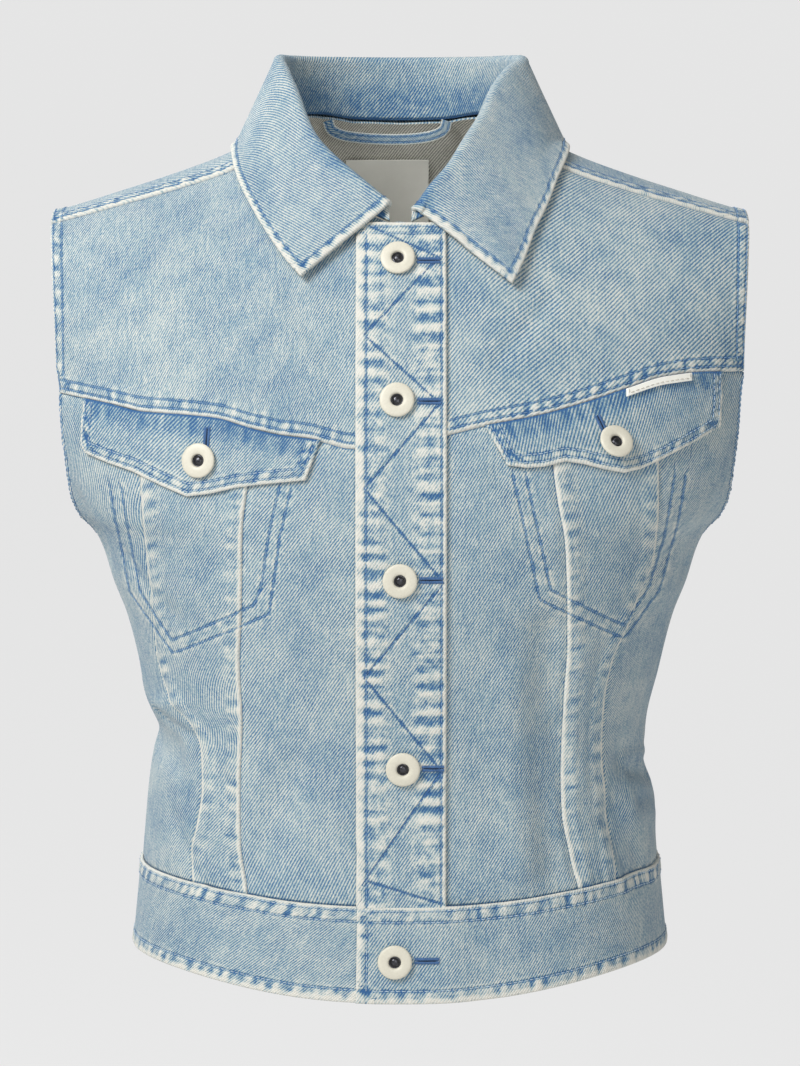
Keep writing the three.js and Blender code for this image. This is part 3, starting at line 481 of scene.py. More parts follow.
def armhole_at_phi(phi):
    x = armhole_x(np.full_like(np.asarray(phi, float), ARM_MIDDLE))
    for _ in range(SETTLE_ROUNDS):
        x = armhole_x(shoulder_point(x, phi)[..., 2])
    return x


def x_on_yoke_seam(line):
    x = line(BACK_YOKE_Z)
    for _ in range(SETTLE_ROUNDS):
        x = line(yoke_seam(x))
    return float(x)


def band_edge(theta, height, dip):
    return height - dip * np.maximum(np.cos(np.radians(theta)), 0) ** BAND_DIP_POWER


def band_top(theta):
    return band_edge(theta, BAND_TOP, BAND_TOP_DIP)


def band_hem(theta):
    return band_edge(theta, BAND_HEM, BAND_HEM_DIP)


# Patches: an edge is a function from 0..1 to pairs of a surface's own two numbers

def pair(a, b):
    return np.stack(np.broadcast_arrays(np.asarray(a, float), np.asarray(b, float)), -1)


def lerp(a, b, t):
    return a + (b - a) * t


def straight(start, end):
    start, end = np.asarray(start, float), np.asarray(end, float)
    return lambda t: start + (end - start) * np.asarray(t, float)[..., None]


def along_stations(stations):
    table = np.array(stations, float)
    at = np.linspace(0, 1, len(table))
    return lambda t: pair(np.interp(t, at, table[:, 0]), np.interp(t, at, table[:, 1]))


def patch_grid(low, high, start, end, u, v):
    """Blend of four edges on the grid of u and v."""
    uu, vv = u[:, None, None], v[None, :, None]
    across = lerp(low(u)[:, None], high(u)[:, None], vv)
    upright = lerp(start(v)[None], end(v)[None], uu)
    corners = lerp(lerp(low(0.0), high(0.0), vv), lerp(low(1.0), high(1.0), vv), uu)
    return across + upright - corners


def spaced(length, cell=CELL, rim=RIM):
    """Shares of a length at an even spacing, with closer lines near both ends."""
    inner = np.linspace(0, 1, max(int(round(length / cell)), 3) + 1)
    close = np.array(rim) / length
    inner = inner[(inner > close[-1] * 1.4) & (inner < 1 - close[-1] * 1.4)]
    return np.concatenate([[0], close, inner, 1 - close[::-1], [1]])


def grid_normals(points):
    along = np.gradient(points, axis=0)
    across = np.gradient(points, axis=1)
    return unit(np.cross(along, across))


def lengths(points):
    """Length run along each of the grid's two ways."""
    runs = []
    for axis in (0, 1):
        step = np.linalg.norm(np.diff(points, axis=axis), axis=-1)
        start = np.zeros_like(np.take(step, [0], axis=axis))
        runs.append(np.concatenate([start, np.cumsum(step, axis=axis)], axis=axis))
    return runs


def waves(at, seed, period, count=4):
    """Uneven wave of one number, from a few sines near a period."""
    rng = np.random.default_rng(seed)
    total = np.zeros_like(at)
    for _ in range(count):
        total += np.sin(at * 2 * math.pi / (period * rng.uniform(0.7, 1.5)) + rng.uniform(0, 6.3))
    return total / math.sqrt(count)


# Cloth sheets

SHEETS = {}  # by name


class Sheet:
    """A piece of cloth on a grid: its outer face, what each point is near, and its stitches."""

    def __init__(self, name, base, edges, offset=0.0, cloth=CLOTH, seed=0, inside="lining",
                 face="denim"):
        self.name = name
        self.edges = dict(zip(SIDES, edges))
        self.faces = [face, inside]
        self.base = base
        self.normals = grid_normals(base)
        run_u, run_v = lengths(base)
        self.run = (run_u, run_v)
        self.woven = np.stack(self.run, -1)
        self.away = {
            "start": run_u, "end": run_u[-1:] - run_u,
            "low": run_v, "high": run_v[:, -1:] - run_v,
        }
        self.upright = self.nearest("start", "end", run_v, seed)
        self.level = self.nearest("low", "high", run_u, seed + 50)
        self.raise_faces(offset, cloth)

    def raise_faces(self, offset, cloth):
        """Outer and inner face of the sheet, from the relief beside its edges."""
        swell = self.upright["swell"] + self.level["swell"]
        tallest = np.where(np.abs(self.upright["swell"]) > np.abs(self.level["swell"]),
                           self.upright["swell"], self.level["swell"])
        swell = np.where(swell > tallest, tallest, swell)
        pucker = self.upright["pucker"] + self.level["pucker"]
        self.pucker = np.clip(pucker, -PUCKER_LIMIT, PUCKER_LIMIT)
        roll = np.maximum(self.upright["roll"], self.level["roll"])
        outer = offset + swell + PUCKER_HEIGHT * self.pucker - roll
        inner = np.minimum(outer - THINNEST, offset - cloth)
        self.outer, self.inner = (self.base + self.normals * height[..., None]
                                  for height in (outer, inner))

    def nearest(self, one, other, along, seed):
        """Relief and look of the nearer of two facing edges."""
        is_one = self.away[one] < self.away[other]
        looks = [self.edge_look(edge, along, seed + k) for k, edge in enumerate((one, other))]
        return {key: np.where(is_one, looks[0][key], looks[1][key]) for key in looks[0]}

    def edge_look(self, edge, along, seed):
        """The relief and look beside one edge, which may be of two kinds in turn."""
        kind = self.edges[edge]
        if isinstance(kind, tuple):
            plain, other, is_other = kind
            looks = [self.kind_look(EDGES[k], self.away[edge], along, seed) for k in (plain, other)]
            return {key: np.where(is_other[:, None], looks[1][key], looks[0][key])
                    for key in looks[0]}
        return self.kind_look(EDGES[kind], self.away[edge], along, seed)

    def kind_look(self, kind, away, along, seed):
        reach = kind["reach"]
        fade = 1 - smooth(reach * 0.72, reach * 1.02, away)
        inward = 1 - np.minimum(away, RIM_RADIUS) / RIM_RADIUS
        turned = 1 - np.sqrt(np.clip(1 - inward ** 2, 0, 1))
        # a row without thread is a dark line of painted shadow beside a lapped edge
        rows = [away - row for row in kind["rows"]] + [np.full_like(away, FAR)] * 2
        band = fade * smooth(0.4, 1.6, away)
        lumps = sum(share * waves(along, seed * 7 + k, period)
                    for k, (period, share) in enumerate(PUCKER_WAVES, 1))
        return {
            "swell": kind["swell"] * fade,
            "roll": kind["roll"] * turned,
            "pucker": kind["pucker"] * band * lumps,
            "worn": away / kind["worn"] if kind["worn"] else np.full_like(away, FAR),
            "row_one": rows[0],
            "row_two": rows[1],
            "band": kind["pucker"] * (1 - smooth(reach * 0.85, reach * 1.25, away)),
            # painted shade that darkens the cloth beside a lapped edge
            "shade": kind["shade"] * (1 - smooth(reach * 0.5, reach * 1.3, away)),
        }

    def row(self, edge, distance, trim, mask):
        """Points and normals of the line at a distance from an edge, where the mask is true."""
        grids = [self.away[edge], self.outer, self.normals]
        if edge in ("start", "end"):
            grids = [np.swapaxes(grid, 0, 1) for grid in grids]
        if edge in ("end", "high"):
            grids = [grid[:, ::-1] for grid in grids]
        points, facing = (
            np.array([[np.interp(distance, away, column) for column in line.T]
                      for away, line in zip(grids[0], values)])
            for values in grids[1:])
        run = run_of(points)
        keep = (run >= trim[0]) & (run <= run[-1] - trim[1])
        if mask is not None:
            keep = keep & mask
        return split_runs(points, unit(facing), keep)


def split_runs(points, facing, keep):
    """The kept stretches of a row, each as points and normals."""
    ends = np.flatnonzero(np.diff(np.concatenate([[False], keep, [False]]).astype(int)))
    return [(points[a:b], facing[a:b]) for a, b in ends.reshape(-1, 2) if b - a > 2]


def seed_of(name):
    return sum(map(ord, name))


def grid_quads(number):
    """Corner numbers of a grid's cells, from the numbers of its points."""
    corners = [number[:-1, :-1], number[1:, :-1], number[1:, 1:], number[:-1, 1:]]
    return np.stack(corners, -1).reshape(-1, 4)


def turned_quads(number):
    return grid_quads(number)[:, [0, 3, 2, 1]]


def shell_quads(rows, columns):
    """Cells of a closed shell from an outer and an inner grid, and which are on its inside."""
    number = np.arange(2 * rows * columns).reshape(2, rows, columns)
    faces = [
        grid_quads(number[0]), turned_quads(number[1]),
        grid_quads(number[:, :, 0]), turned_quads(number[:, :, -1]),
        turned_quads(number[:, 0]), grid_quads(number[:, -1]),
    ]
    kinds = np.concatenate([np.full(len(f), 1 if k == 1 else 0) for k, f in enumerate(faces)])
    return np.concatenate(faces), kinds


def tube_quads(rings, sides):
    """Cells of a tube, from the number of its rings and of each ring's points."""
    number = np.arange(rings * sides).reshape(rings, sides)
    return grid_quads(np.concatenate([number, number[:, :1]], axis=1))


def new_object(name, points, faces, materials, kinds=None):
    """A smooth mesh object from points in millimetres and faces of one size."""
    mesh = bpy.data.meshes.new(name)
    count, size = faces.shape
    mesh.vertices.add(len(points))
    mesh.vertices.foreach_set("co", (np.asarray(points, np.float32) * MM).ravel())
    mesh.loops.add(count * size)
    mesh.loops.foreach_set("vertex_index", faces.astype(np.int32).ravel())
    mesh.polygons.add(count)
    mesh.polygons.foreach_set("loop_start", np.arange(0, count * size, size, dtype=np.int32))
    for material in materials:
        mesh.materials.append(MATERIALS[material])
    if kinds is not None:
        mesh.polygons.foreach_set("material_index", kinds.astype(np.int32))
    mesh.update(calc_edges=True)
    mesh.shade_smooth()
    obj = bpy.data.objects.new(name, mesh)
    bpy.context.scene.collection.objects.link(obj)
    return obj


def set_uv(obj, values):
    """The cloth's own two lengths, in millimetres, as its texture coordinates."""
    mesh = obj.data
    corner = np.empty(len(mesh.loops), np.int32)
    mesh.loops.foreach_get("vertex_index", corner)
    layer = mesh.uv_layers.new(name="cloth")
    layer.data.foreach_set("uv", values[corner].astype(np.float32).ravel())


def set_attribute(obj, name, values):
    layer = obj.data.attributes.new(name, "FLOAT_VECTOR", "POINT")
    layer.data.foreach_set("vector", values.astype(np.float32).ravel())


def add_sheet(sheet, nodes):
    """The sheet as a closed shell that stands for its nodes, with its flat lengths as texture
    coordinates.
    """
    rows, columns = sheet.base.shape[:2]
    faces, kinds = shell_quads(rows, columns)
    points = np.concatenate([sheet.outer.reshape(-1, 3), sheet.inner.reshape(-1, 3)])
    obj = new_object(sheet.name, points, faces, sheet.faces, kinds)

    def twice(grid):
        flat = grid.reshape(rows * columns, -1)
        return np.concatenate([flat, flat])

    set_uv(obj, twice(sheet.woven))
    worn, one, two = (smaller(sheet.upright[key], sheet.level[key])
                      for key in ("worn", "row_one", "row_two"))
    near = np.stack([worn, one, two], -1)
    set_attribute(obj, "near", twice(np.clip(near, -LINE_LIMIT, LINE_LIMIT)))
    # the third of the lumps is the painted shade beside lapped edges
    band, shade = (np.maximum(sheet.upright[key], sheet.level[key]) for key in ("band", "shade"))
    set_attribute(obj, "lumps", twice(np.stack([sheet.pucker, band, shade], -1)))
    set_attribute(obj, "crossing", twice(crossing_rows(sheet)))
    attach(obj, "root")
    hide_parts(*nodes)
    SHEETS[sheet.name] = sheet


def signed_distance(points, route):
    """Distance from a route in the plane of x and z, with the side as its sign."""
    best = np.full(points.shape[:-1], FAR)
    for a, b in zip(np.array(route[:-1], float), np.array(route[1:], float)):
        way = (b - a) / np.linalg.norm(b - a)
        along = np.clip((points - a) @ way, 0, np.linalg.norm(b - a))
        apart = points - a - along[..., None] * way
        side = np.where(apart[..., 0] * way[1] - apart[..., 1] * way[0] < 0, -1, 1)
        distance = np.linalg.norm(apart, axis=-1) * side
        best = smaller(distance, best)
    return best


def crossing_rows(sheet):
    """Signed distances to the two rows of stitches that cross the piece."""
    points = sheet.outer[..., [0, 2]]
    rows = np.full(points.shape[:-1] + (3,), LINE_LIMIT)
    name = sheet.name.replace("cloth_", "")
    if name == "placket":
        rows[..., 0] = signed_distance(points, ZIGZAG)
    elif name.startswith(("front_centre", "front_middle", "side")):
        pair_of_rows = POCKET_ROWS[:2] if name.endswith("left") else POCKET_ROWS[2:]
        is_front = sheet.outer[..., 1] < 0
        for k, route in enumerate(pair_of_rows):
            rows[..., k] = np.where(is_front, signed_distance(points, route), LINE_LIMIT)
    return np.clip(rows, -LINE_LIMIT, LINE_LIMIT)


def ring_lengths():
    """Length around the plain body from the front's middle, for each height and angle."""
    theta, z = np.meshgrid(RING_ANGLES, RING_HEIGHTS)
    points = plain_ring_point(theta, z)
    step = np.linalg.norm(np.diff(points, axis=1), axis=-1)
    run = np.concatenate([np.zeros((len(RING_HEIGHTS), 1)), np.cumsum(step, axis=1)], axis=1)
    return run - run[:, 90:91]


def between(table, row, column):
    """Values of a table between its rows and columns."""
    r = np.clip(row.astype(int), 0, table.shape[0] - 2)
    c = np.clip(column.astype(int), 0, table.shape[1] - 2)
    left, right = (lerp(table[r, k], table[r + 1, k], row - r) for k in (c, c + 1))
    return lerp(left, right, column - c)


def woven_on_ring(theta, z, middle):
    """The cloth's lengths on a side panel: around the ring from its middle angle, and height."""
    table = ring_lengths()
    row = np.interp(z, RING_HEIGHTS, np.arange(len(RING_HEIGHTS)))
    here, origin = (between(table, row, (angle + 180) / 2)
                    for angle in (theta, np.full_like(theta, middle)))
    return np.stack([here - origin, z], -1)


# Pieces on the body

def sideways(side, near, far, low, high, u, v):
    """A patch that is named from the vest's middle outward, turned to run from left to right."""
    if side > 0:
        return patch_grid(low, high, near, far, u, v)
    return patch_grid(lambda t: low(1 - t), lambda t: high(1 - t), far, near, 1 - u[::-1], v)


def side_edges(side, near, far, low, high):
    return (near, far, low, high) if side > 0 else (far, near, low, high)


def upright_edge(line, top_x):
    foot = band_top(theta_at(line(BAND_TOP), BAND_TOP)) - OVERLAP

    def edge(v):
        z = lerp(foot, yoke_seam(top_x) + OVERLAP, v)
        return pair(theta_at(line(z), z), z)

    return edge


def band_edge_between(near, far):
    def edge(u):
        theta = lerp(near(0.0)[0], far(0.0)[0], u)
        return pair(theta, band_top(theta) - OVERLAP)

    return edge


def armhole_columns(seam, back, top, u, v):
    """A panel below an armhole, between two seams, with columns that lean away from the hole."""
    at = np.linspace(0, 1, len(top))
    angle, height = np.array(top).T
    share = (angle - seam(height)) / (back(height) - seam(height))
    low = int(np.argmin(height))
    foot = share.copy()
    foot[:low + 1] = np.minimum.accumulate(share[low::-1])[::-1]
    foot[low:] = np.maximum.accumulate(share[low:])
    corners = [0, at[YOKE_STEPS], at[low], at[-YOKE_STEPS - 1], 1]
    foot += np.interp(at, corners, [0, -COLUMN_LEAN, 0, COLUMN_LEAN, 0])
    foot[0], foot[-1] = 0, 1
    foot_share, top_share, top_z = (np.interp(u, at, row)[:, None] for row in (foot, share, height))
    foot_z = band_top(lerp(seam(BAND_TOP), back(BAND_TOP), foot_share)) - OVERLAP
    z = lerp(foot_z, top_z, v[None, :])
    return pair(lerp(seam(z), back(z), lerp(foot_share, top_share, v[None, :])), z)


def below_yoke_seam(stations):
    return [(float(theta_at(x, yoke_seam(x))), float(yoke_seam(x) + OVERLAP)) for x in stations]


def on_ring(grid):
    return ring_point(grid[..., 0], grid[..., 1])


def on_shoulder(grid):
    return shoulder_point(grid[..., 0], grid[..., 1])


def on_front(grid):
    return front_point(grid[..., 0], grid[..., 1])


def add_front(side, word, front_edge):
    """One front: its centre, middle and side panels and its yoke."""
    centre, outer = table_curve(CENTRE_SEAM[side]), table_curve(SIDE_SEAM[side])
    lines = [centre, outer, lambda z: side * armhole_x(z)]
    stops = [front_edge] + [x_on_yoke_seam(line) for line in lines]
    spans = [np.linspace(stops[i], stops[i + 1], n + 1) for i, n in enumerate((6, 4, 3))]

    def beside(line, gap):
        return lambda z: line(z) + side * gap

    yoke_stations = np.concatenate([spans[0], spans[1][1:], spans[2][1:]])
    add_panel(side, f"front_centre_{word}", lambda z: front_edge + 0 * z,
              beside(centre, OVERLAP), spans[0], ("hidden", "under"))
    add_panel(side, f"front_middle_{word}", beside(centre, -OVERLAP), beside(outer, OVERLAP),
              spans[1], ("ridge", "ridge"))
    add_side_panel(side, f"side_{word}", beside(outer, -OVERLAP), spans[2])
    add_front_yoke(side, word, yoke_stations, front_edge)


def add_panel(side, name, near_line, far_line, stations, kinds):
    near = upright_edge(near_line, stations[0])
    far = upright_edge(far_line, stations[-1])
    top = [tuple(near(1.0))] + below_yoke_seam(stations[1:-1]) + [tuple(far(1.0))]
    width = abs(near_line(-250.0) - far_line(-250.0))
    grid = sideways(side, near, far, band_edge_between(near, far), along_stations(top),
                    spaced(width * 1.05), spaced(235))
    edges = side_edges(side, *kinds, "under", "under")
    sheet = Sheet("cloth_" + name, on_ring(grid), edges, seed=seed_of(name))
    add_sheet(sheet, [name])


def side_panel_top(side, seam, back, stations):
    """The yoke's seam, the armhole and the back yoke's seam, as angles and heights."""
    near_z = float(yoke_seam(stations[0]) + OVERLAP)
    yoke = [(float(seam(near_z)), near_z)] + below_yoke_seam(stations[1:])
    start = math.degrees(math.asin(max(ARM_MIDDLE - yoke[-1][1], 0) / ARM_DROP))
    yoke[-1] = (armhole_low(start, side)[0], yoke[-1][1])
    oval = [armhole_low(a, side) for a in np.linspace(start, 180, 43)[1:]]
    corner = (float(back(BACK_YOKE_Z + OVERLAP)), BACK_YOKE_Z + OVERLAP)
    steps = np.linspace(0, 1, YOKE_STEPS + 1)
    behind = [tuple(row) for row in straight(oval[-1], corner)(steps[1:])]
    return [tuple(row) for row in along_stations(yoke)(steps)] + oval + behind


def side_panel_grid(side, line, stations):
    def seam(z):
        return theta_at(line(z), z)

    def back(z):
        return side * (BACK_SEAM + np.degrees(OVERLAP / half_width(z)))

    u, v = spaced(250), spaced(215)
    top = side_panel_top(side, seam, back, stations)
    share = YOKE_STEPS / (len(top) - 1)
    is_armhole = (u > share) & (u < 1 - share)
    return armhole_columns(seam, back, top, u if side > 0 else u[::-1], v), is_armhole


def add_side_panel(side, name, line, stations):
    grid, is_armhole = side_panel_grid(side, line, stations)
    edges = side_edges(side, "under", "under", "under", ("under", "armhole", is_armhole))
    sheet = Sheet("cloth_" + name, on_ring(grid), edges, seed=seed_of(name))
    sheet.woven = woven_on_ring(grid[..., 0], grid[..., 1], side * SIDE_MIDDLE)
    add_sheet(sheet, [name])


def woven_on_shoulder(x, phi):
    """The cloth's lengths on a front yoke: across the vest, and down from the ridge."""
    share = np.linspace(0, 1, 25)
    line = shoulder_point(x[..., None], phi[..., None] * share)
    down = np.linalg.norm(np.diff(line, axis=-2), axis=-1).sum(-1)
    return np.stack([x, -down], -1)


def add_front_yoke(side, word, stations, front_edge):
    seam = [(x, float(phi_at(x, yoke_seam(x) - OVERLAP, False))) for x in stations]
    neck = [(side * x, phi) for x, phi in NECKLINE[:NECK_SIDE_ROW - 1:-1] if side * front_edge < x]
    neck[-1] = (neck[-1][0], FORWARD_SEAM_NECK)
    corner = (front_edge, NECKLINE[-1][1])
    rise = [tuple(row) for row in straight(seam[0], corner)(np.linspace(0, 1, 4))]
    near = along_stations(rise + neck)

    def far(v):
        phi = lerp(seam[-1][1], FORWARD_SEAM_TIP, v)
        return pair(side * armhole_at_phi(phi), phi)

    grid = sideways(side, near, far, along_stations(seam), straight(near(1.0), far(1.0)),
                    spaced(150), spaced(125))
    edges = side_edges(side, "hidden", "armhole", "lapped", "under")
    name = f"front_yoke_{word}"
    sheet = Sheet("cloth_" + name, on_shoulder(grid), edges, seed=seed_of(name))
    sheet.woven = woven_on_shoulder(grid[..., 0], grid[..., 1])
    add_sheet(sheet, [name])


def back_yoke_rim():
    """The left forward seam, the neckline and the right forward seam."""
    tip_phi, neck_phi = FORWARD_SEAM_TIP - YOKE_LAP, FORWARD_SEAM_NECK - YOKE_LAP
    neck = list(NECKLINE[:NECK_SIDE_ROW]) + [(NECKLINE[NECK_SIDE_ROW][0], neck_phi)]
    seam = straight(neck[-1], (float(armhole_at_phi(tip_phi)), tip_phi))
    right = neck + [tuple(row) for row in seam(np.linspace(0, 1, SHOULDER_STEPS + 1)[1:])]
    return [(-x, phi) for x, phi in right[:0:-1]] + right


def add_back_yoke():
    rim = back_yoke_rim()
    foot = BACK_YOKE_Z - OVERLAP
    foot_x = float(armhole_x(foot))
    foot_phi = float(phi_at(foot_x, foot, True))

    def high(u):
        x = lerp(-foot_x, foot_x, u)
        return pair(x, phi_at(x, foot, True))

    def arm_edge(side):
        def edge(v):
            phi = lerp(rim[-1][1], foot_phi, v)
            return pair(side * armhole_at_phi(phi), phi)
        return edge

    u = spaced(370)
    grid = patch_grid(along_stations(rim), high, arm_edge(-1), arm_edge(1), u, spaced(165))
    share = SHOULDER_STEPS / (len(rim) - 1)
    is_seam = (u < share) | (u > 1 - share)
    edges = ("armhole", "armhole", ("hidden", "lapped", is_seam), "lapped")
    sheet = Sheet("cloth_back_yoke", on_shoulder(grid), edges, seed=5)
    run = sheet.run[1]
    sheet.woven = np.stack([sheet.base[..., 0], run[:, -1:] - run], -1)
    add_sheet(sheet, ["back_yoke"])


def add_back_panel():
    u, v = spaced(250)[:, None], spaced(262)[None, :]
    starts = (BACK_SEAM - math.degrees(OVERLAP / half_width(z)) for z in (BAND_TOP, BACK_YOKE_Z))
    low, high = (lerp(start, 360 - start, u) for start in starts)
    z = lerp(BAND_TOP - OVERLAP, BACK_YOKE_Z + OVERLAP, v)
    edges = ("lapped", "lapped", "under", "under")
    sheet = Sheet("cloth_back_panel", ring_point(lerp(low, high, v), z), edges, seed=6)
    add_sheet(sheet, ["back_panel"])


def add_waistband():
    middle = (BAND_TOP + BAND_HEM) / 2
    start = float(theta_at(BAND_END, middle))
    end = 360 + float(theta_at(UNDERLAP, middle))
    u, v = spaced(815), spaced(47)
    theta = lerp(start, end, u)[:, None]
    z = lerp(band_hem(theta), band_top(theta), v[None, :])
    base = ring_point(theta, z)
    x = np.where(theta[:, 0] < 90, ring_point(theta[:, 0], middle)[:, 0], BAND_LIFT[1])
    lift = 1 - smooth(*BAND_LIFT, x)
    offset = lerp(BAND_PROUD, LIE_OUTER + BAND_PROUD - 0.3, lift)[:, None]
    edges = ("band_end", "hidden", "band_hem", "band_top")
    sheet = Sheet("cloth_waistband", base, edges, offset=offset, seed=7, inside="denim")
    add_sheet(sheet, ["waistband"])


def add_placket():
    x = lerp(PLACKET_LEFT, PLACKET_RIGHT, spaced(46))[:, None]
    foot = band_top(theta_at(x, BAND_TOP)) - OVERLAP
    base = front_point(x, lerp(foot, PLACKET_TOP, spaced(350)[None, :]))
    edges = ("placket_left", "placket_right", "hidden", "free")
    sheet = Sheet("cloth_placket", base, edges, offset=LIE_OUTER, seed=8, inside="denim")
    add_sheet(sheet, ["placket_upper", "placket_lower"])


def add_flap(name):
    u, v = spaced(120), spaced(36)[None, :, None]
    x = lerp(*FLAPS[name]["top"], u)
    low, high = along_stations(FLAPS[name]["low"])(u), pair(x, yoke_seam(x) - 0.1)
    grid = lerp(low[:, None], high[:, None], v)
    edges = ("free", "free", "free", "flap_top")
    sheet = Sheet("cloth_" + name, on_front(grid), edges, offset=LIE_OUTER, seed=seed_of(name),
                  inside="denim", cloth=1.6)
    add_sheet(sheet, [name])


# Collar

def path_through(points, u):
    """Centripetal curve through points, at shares of their count, with its direction."""
    points = np.array(points, float)
    ends = [2 * points[0] - points[1]], [2 * points[-1] - points[-2]]
    around = np.concatenate([ends[0], points, ends[1]])
    at = np.asarray(u) * (len(points) - 1)
    i = np.minimum(at.astype(int), len(points) - 2)
    t = (at - i)[:, None]
    x0, x1, x2, x3 = (around[i + k] for k in range(4))
    d0, d1, d2 = (np.sqrt(np.linalg.norm(b - a, axis=1, keepdims=True))
                  for a, b in ((x0, x1), (x1, x2), (x2, x3)))
    m1 = d1 * ((x1 - x0) / d0 - (x2 - x0) / (d0 + d1) + (x2 - x1) / d1)
    m2 = d1 * ((x2 - x1) / d1 - (x3 - x1) / (d1 + d2) + (x3 - x2) / d2)
    c2, c3 = 3 * (x2 - x1) - 2 * m1 - m2, 2 * (x1 - x2) + m1 + m2
    return x1 + m1 * t + c2 * t ** 2 + c3 * t ** 3, unit(m1 + 2 * c2 * t + 3 * c3 * t ** 2)


def fill_at(p):
    is_back = p[..., 1] > 0
    up, out = roll_of(is_back)
    rise = np.maximum((p[..., 2] - CHEST_Z) / (ridge_height(p[..., 0]) - CHEST_Z), 0)
    depth = np.maximum(ring_depth(p[..., 0], p[..., 2], is_back), 1e-6)
    return rise ** up + (np.abs(p[..., 1]) / depth) ** out


def pushed_out(p, clearance):
    """Points moved out of the body to a clearance from it."""
    step = 0.4
    for _ in range(5):
        slope = np.stack([(fill_at(p + step * axis) - fill_at(p - step * axis)) / (2 * step)
                          for axis in np.eye(3)], -1)
        size = np.linalg.norm(slope, axis=-1)
        distance = (fill_at(p) - 1) / size
        short = np.maximum(clearance - distance, 0)
        p = p + slope / size[..., None] * short[..., None]
    return p


def turned_to(vectors, towards):
    """Unit vectors, reversed where they point away from the others."""
    same = np.sum(vectors * towards, axis=-1, keepdims=True)
    return unit(vectors) * np.where(same < 0, -1, 1)


def collar_lines(u):
    """The neck's seam, the top of the roll with its direction, and the free edge."""
    left, right = [], []
    for (x, phi), (fold_l, fold_r, edge_l, edge_r) in zip(NECKLINE, COLLAR):
        left.append((shoulder_point(-x, phi), fold_l, edge_l))
        right.append((shoulder_point(x, phi), fold_r, edge_r))
    necks, folds, edges = zip(*(left[::-1] + right[1:]))
    neck, _ = path_through(necks, u)
    edge, _ = path_through(edges, u)
    return neck, *path_through(folds, u), edge


def collar_grid():
    neck, fold, tangent, edge = collar_lines(spaced(400))
    upward = unit(fold - neck)
    outward = turned_to(np.cross(tangent, upward), edge - neck)
    crest = turned_to(np.cross(outward, tangent), upward)
    centre = fold - crest * ROLL_RADIUS

    def on_roll(angle):
        a = math.radians(angle)
        return centre + ROLL_RADIUS * (outward * math.sin(a) + crest * math.cos(a))

    foot = neck + crest * STAND_LIFT
    columns = [lerp(foot, on_roll(-90), t) for t in np.linspace(0, 1, STAND_COLUMNS + 1)[:-1]]
    columns += [on_roll(angle) for angle in np.linspace(-90, 90, 9)]
    for t in spaced(50)[len(RIM):]:
        p = lerp(on_roll(90), edge, t)
        near_placket = 1 - smooth(*PLACKET_REACH, np.abs(p[:, 0]))
        columns.append(pushed_out(p, FALL_CLEARANCE + near_placket * OVER_PLACKET))
    return np.stack(columns, 1)


def woven_on_collar(run_u, run_v):
    """The collar's lengths once it lies flat, where its roll is an arc."""
    angle = (run_u[:, ROLL_COLUMN] - run_u[-1, ROLL_COLUMN] / 2)[:, None] / COLLAR_ARC
    radius = COLLAR_ARC + run_v - run_v[:, ROLL_COLUMN:ROLL_COLUMN + 1]
    return np.stack([radius * np.sin(angle), radius * np.cos(angle)], -1)


def add_collar():
    edges = ("collar", "collar", "collar_foot", "collar")
    sheet = Sheet("cloth_collar", collar_grid(), edges, offset=1.1, cloth=2.2, seed=9,
                  inside="denim")
    sheet.woven = woven_on_collar(*sheet.run)
    add_sheet(sheet, ["collar"])


# Small cloth pieces

def add_loop():
    path, tangent = path_through(LOOP, spaced(78, 1.5))
    across = unit(np.cross(tangent, [0, 1, 0]))
    widths = spaced(LOOP_WIDTH, 1.2, SMALL_RIM) - 0.5
    grid = path[:, None] + across[:, None] * (widths * LOOP_WIDTH)[None, :, None]
    edges = ("hidden", "hidden", "tape", "tape")
    sheet = Sheet("cloth_hanger_loop", grid, edges, offset=LOOP_CLOTH / 2, cloth=LOOP_CLOTH,
                  seed=11, inside="denim")
    add_sheet(sheet, ["hanger_loop"])


def add_label():
    x = lerp(*LABEL_X, spaced(46, 1.5))[:, None]
    z = lerp(*LABEL_Z, spaced(45, 1.5))[None, :]
    grid = shoulder_point(x, phi_at(x, z, True))
    sheet = Sheet("cloth_neck_label", grid, ["satin"] * 4, offset=LABEL_OFFSET,
                  cloth=LABEL_CLOTH, seed=12, inside="satin", face="satin")
    add_sheet(sheet, ["neck_label"])


def add_tab():
    u, v = spaced(34, 1.2), spaced(TAB_HEIGHT, 0.8, SMALL_RIM)
    x = lerp(*TAB_X, u)[:, None]
    z = yoke_seam(x) - 0.4 - TAB_HEIGHT * (1 - v[None, :])
    edges = ("satin", "satin", "satin", "hidden")
    sheet = Sheet("cloth_chest_tab", front_point(x, z), edges, offset=TAB_OUTER,
                  cloth=TAB_CLOTH, seed=13, inside="satin", face="satin")
    add_sheet(sheet, ["chest_tab"])


# Stitches: small arched threads, joined into one mesh for each part of the vest

def run_of(points):
    return np.concatenate([[0], np.cumsum(np.linalg.norm(np.diff(points, axis=0), axis=1))])


def read_at(at, run, values):
    return np.stack([np.interp(at, run, column) for column in values.T], -1)


def along_row(points, normals, pitch):
    """Middles, directions and normals of the stitches of one row."""
    run = run_of(points)
    count = max(int(run[-1] / pitch), 1)
    at = (np.arange(count) + 0.5) * run[-1] / count
    way = unit(read_at(at + 0.4, run, points) - read_at(at - 0.4, run, points))
    return read_at(at, run, points), way, unit(read_at(at, run, normals))


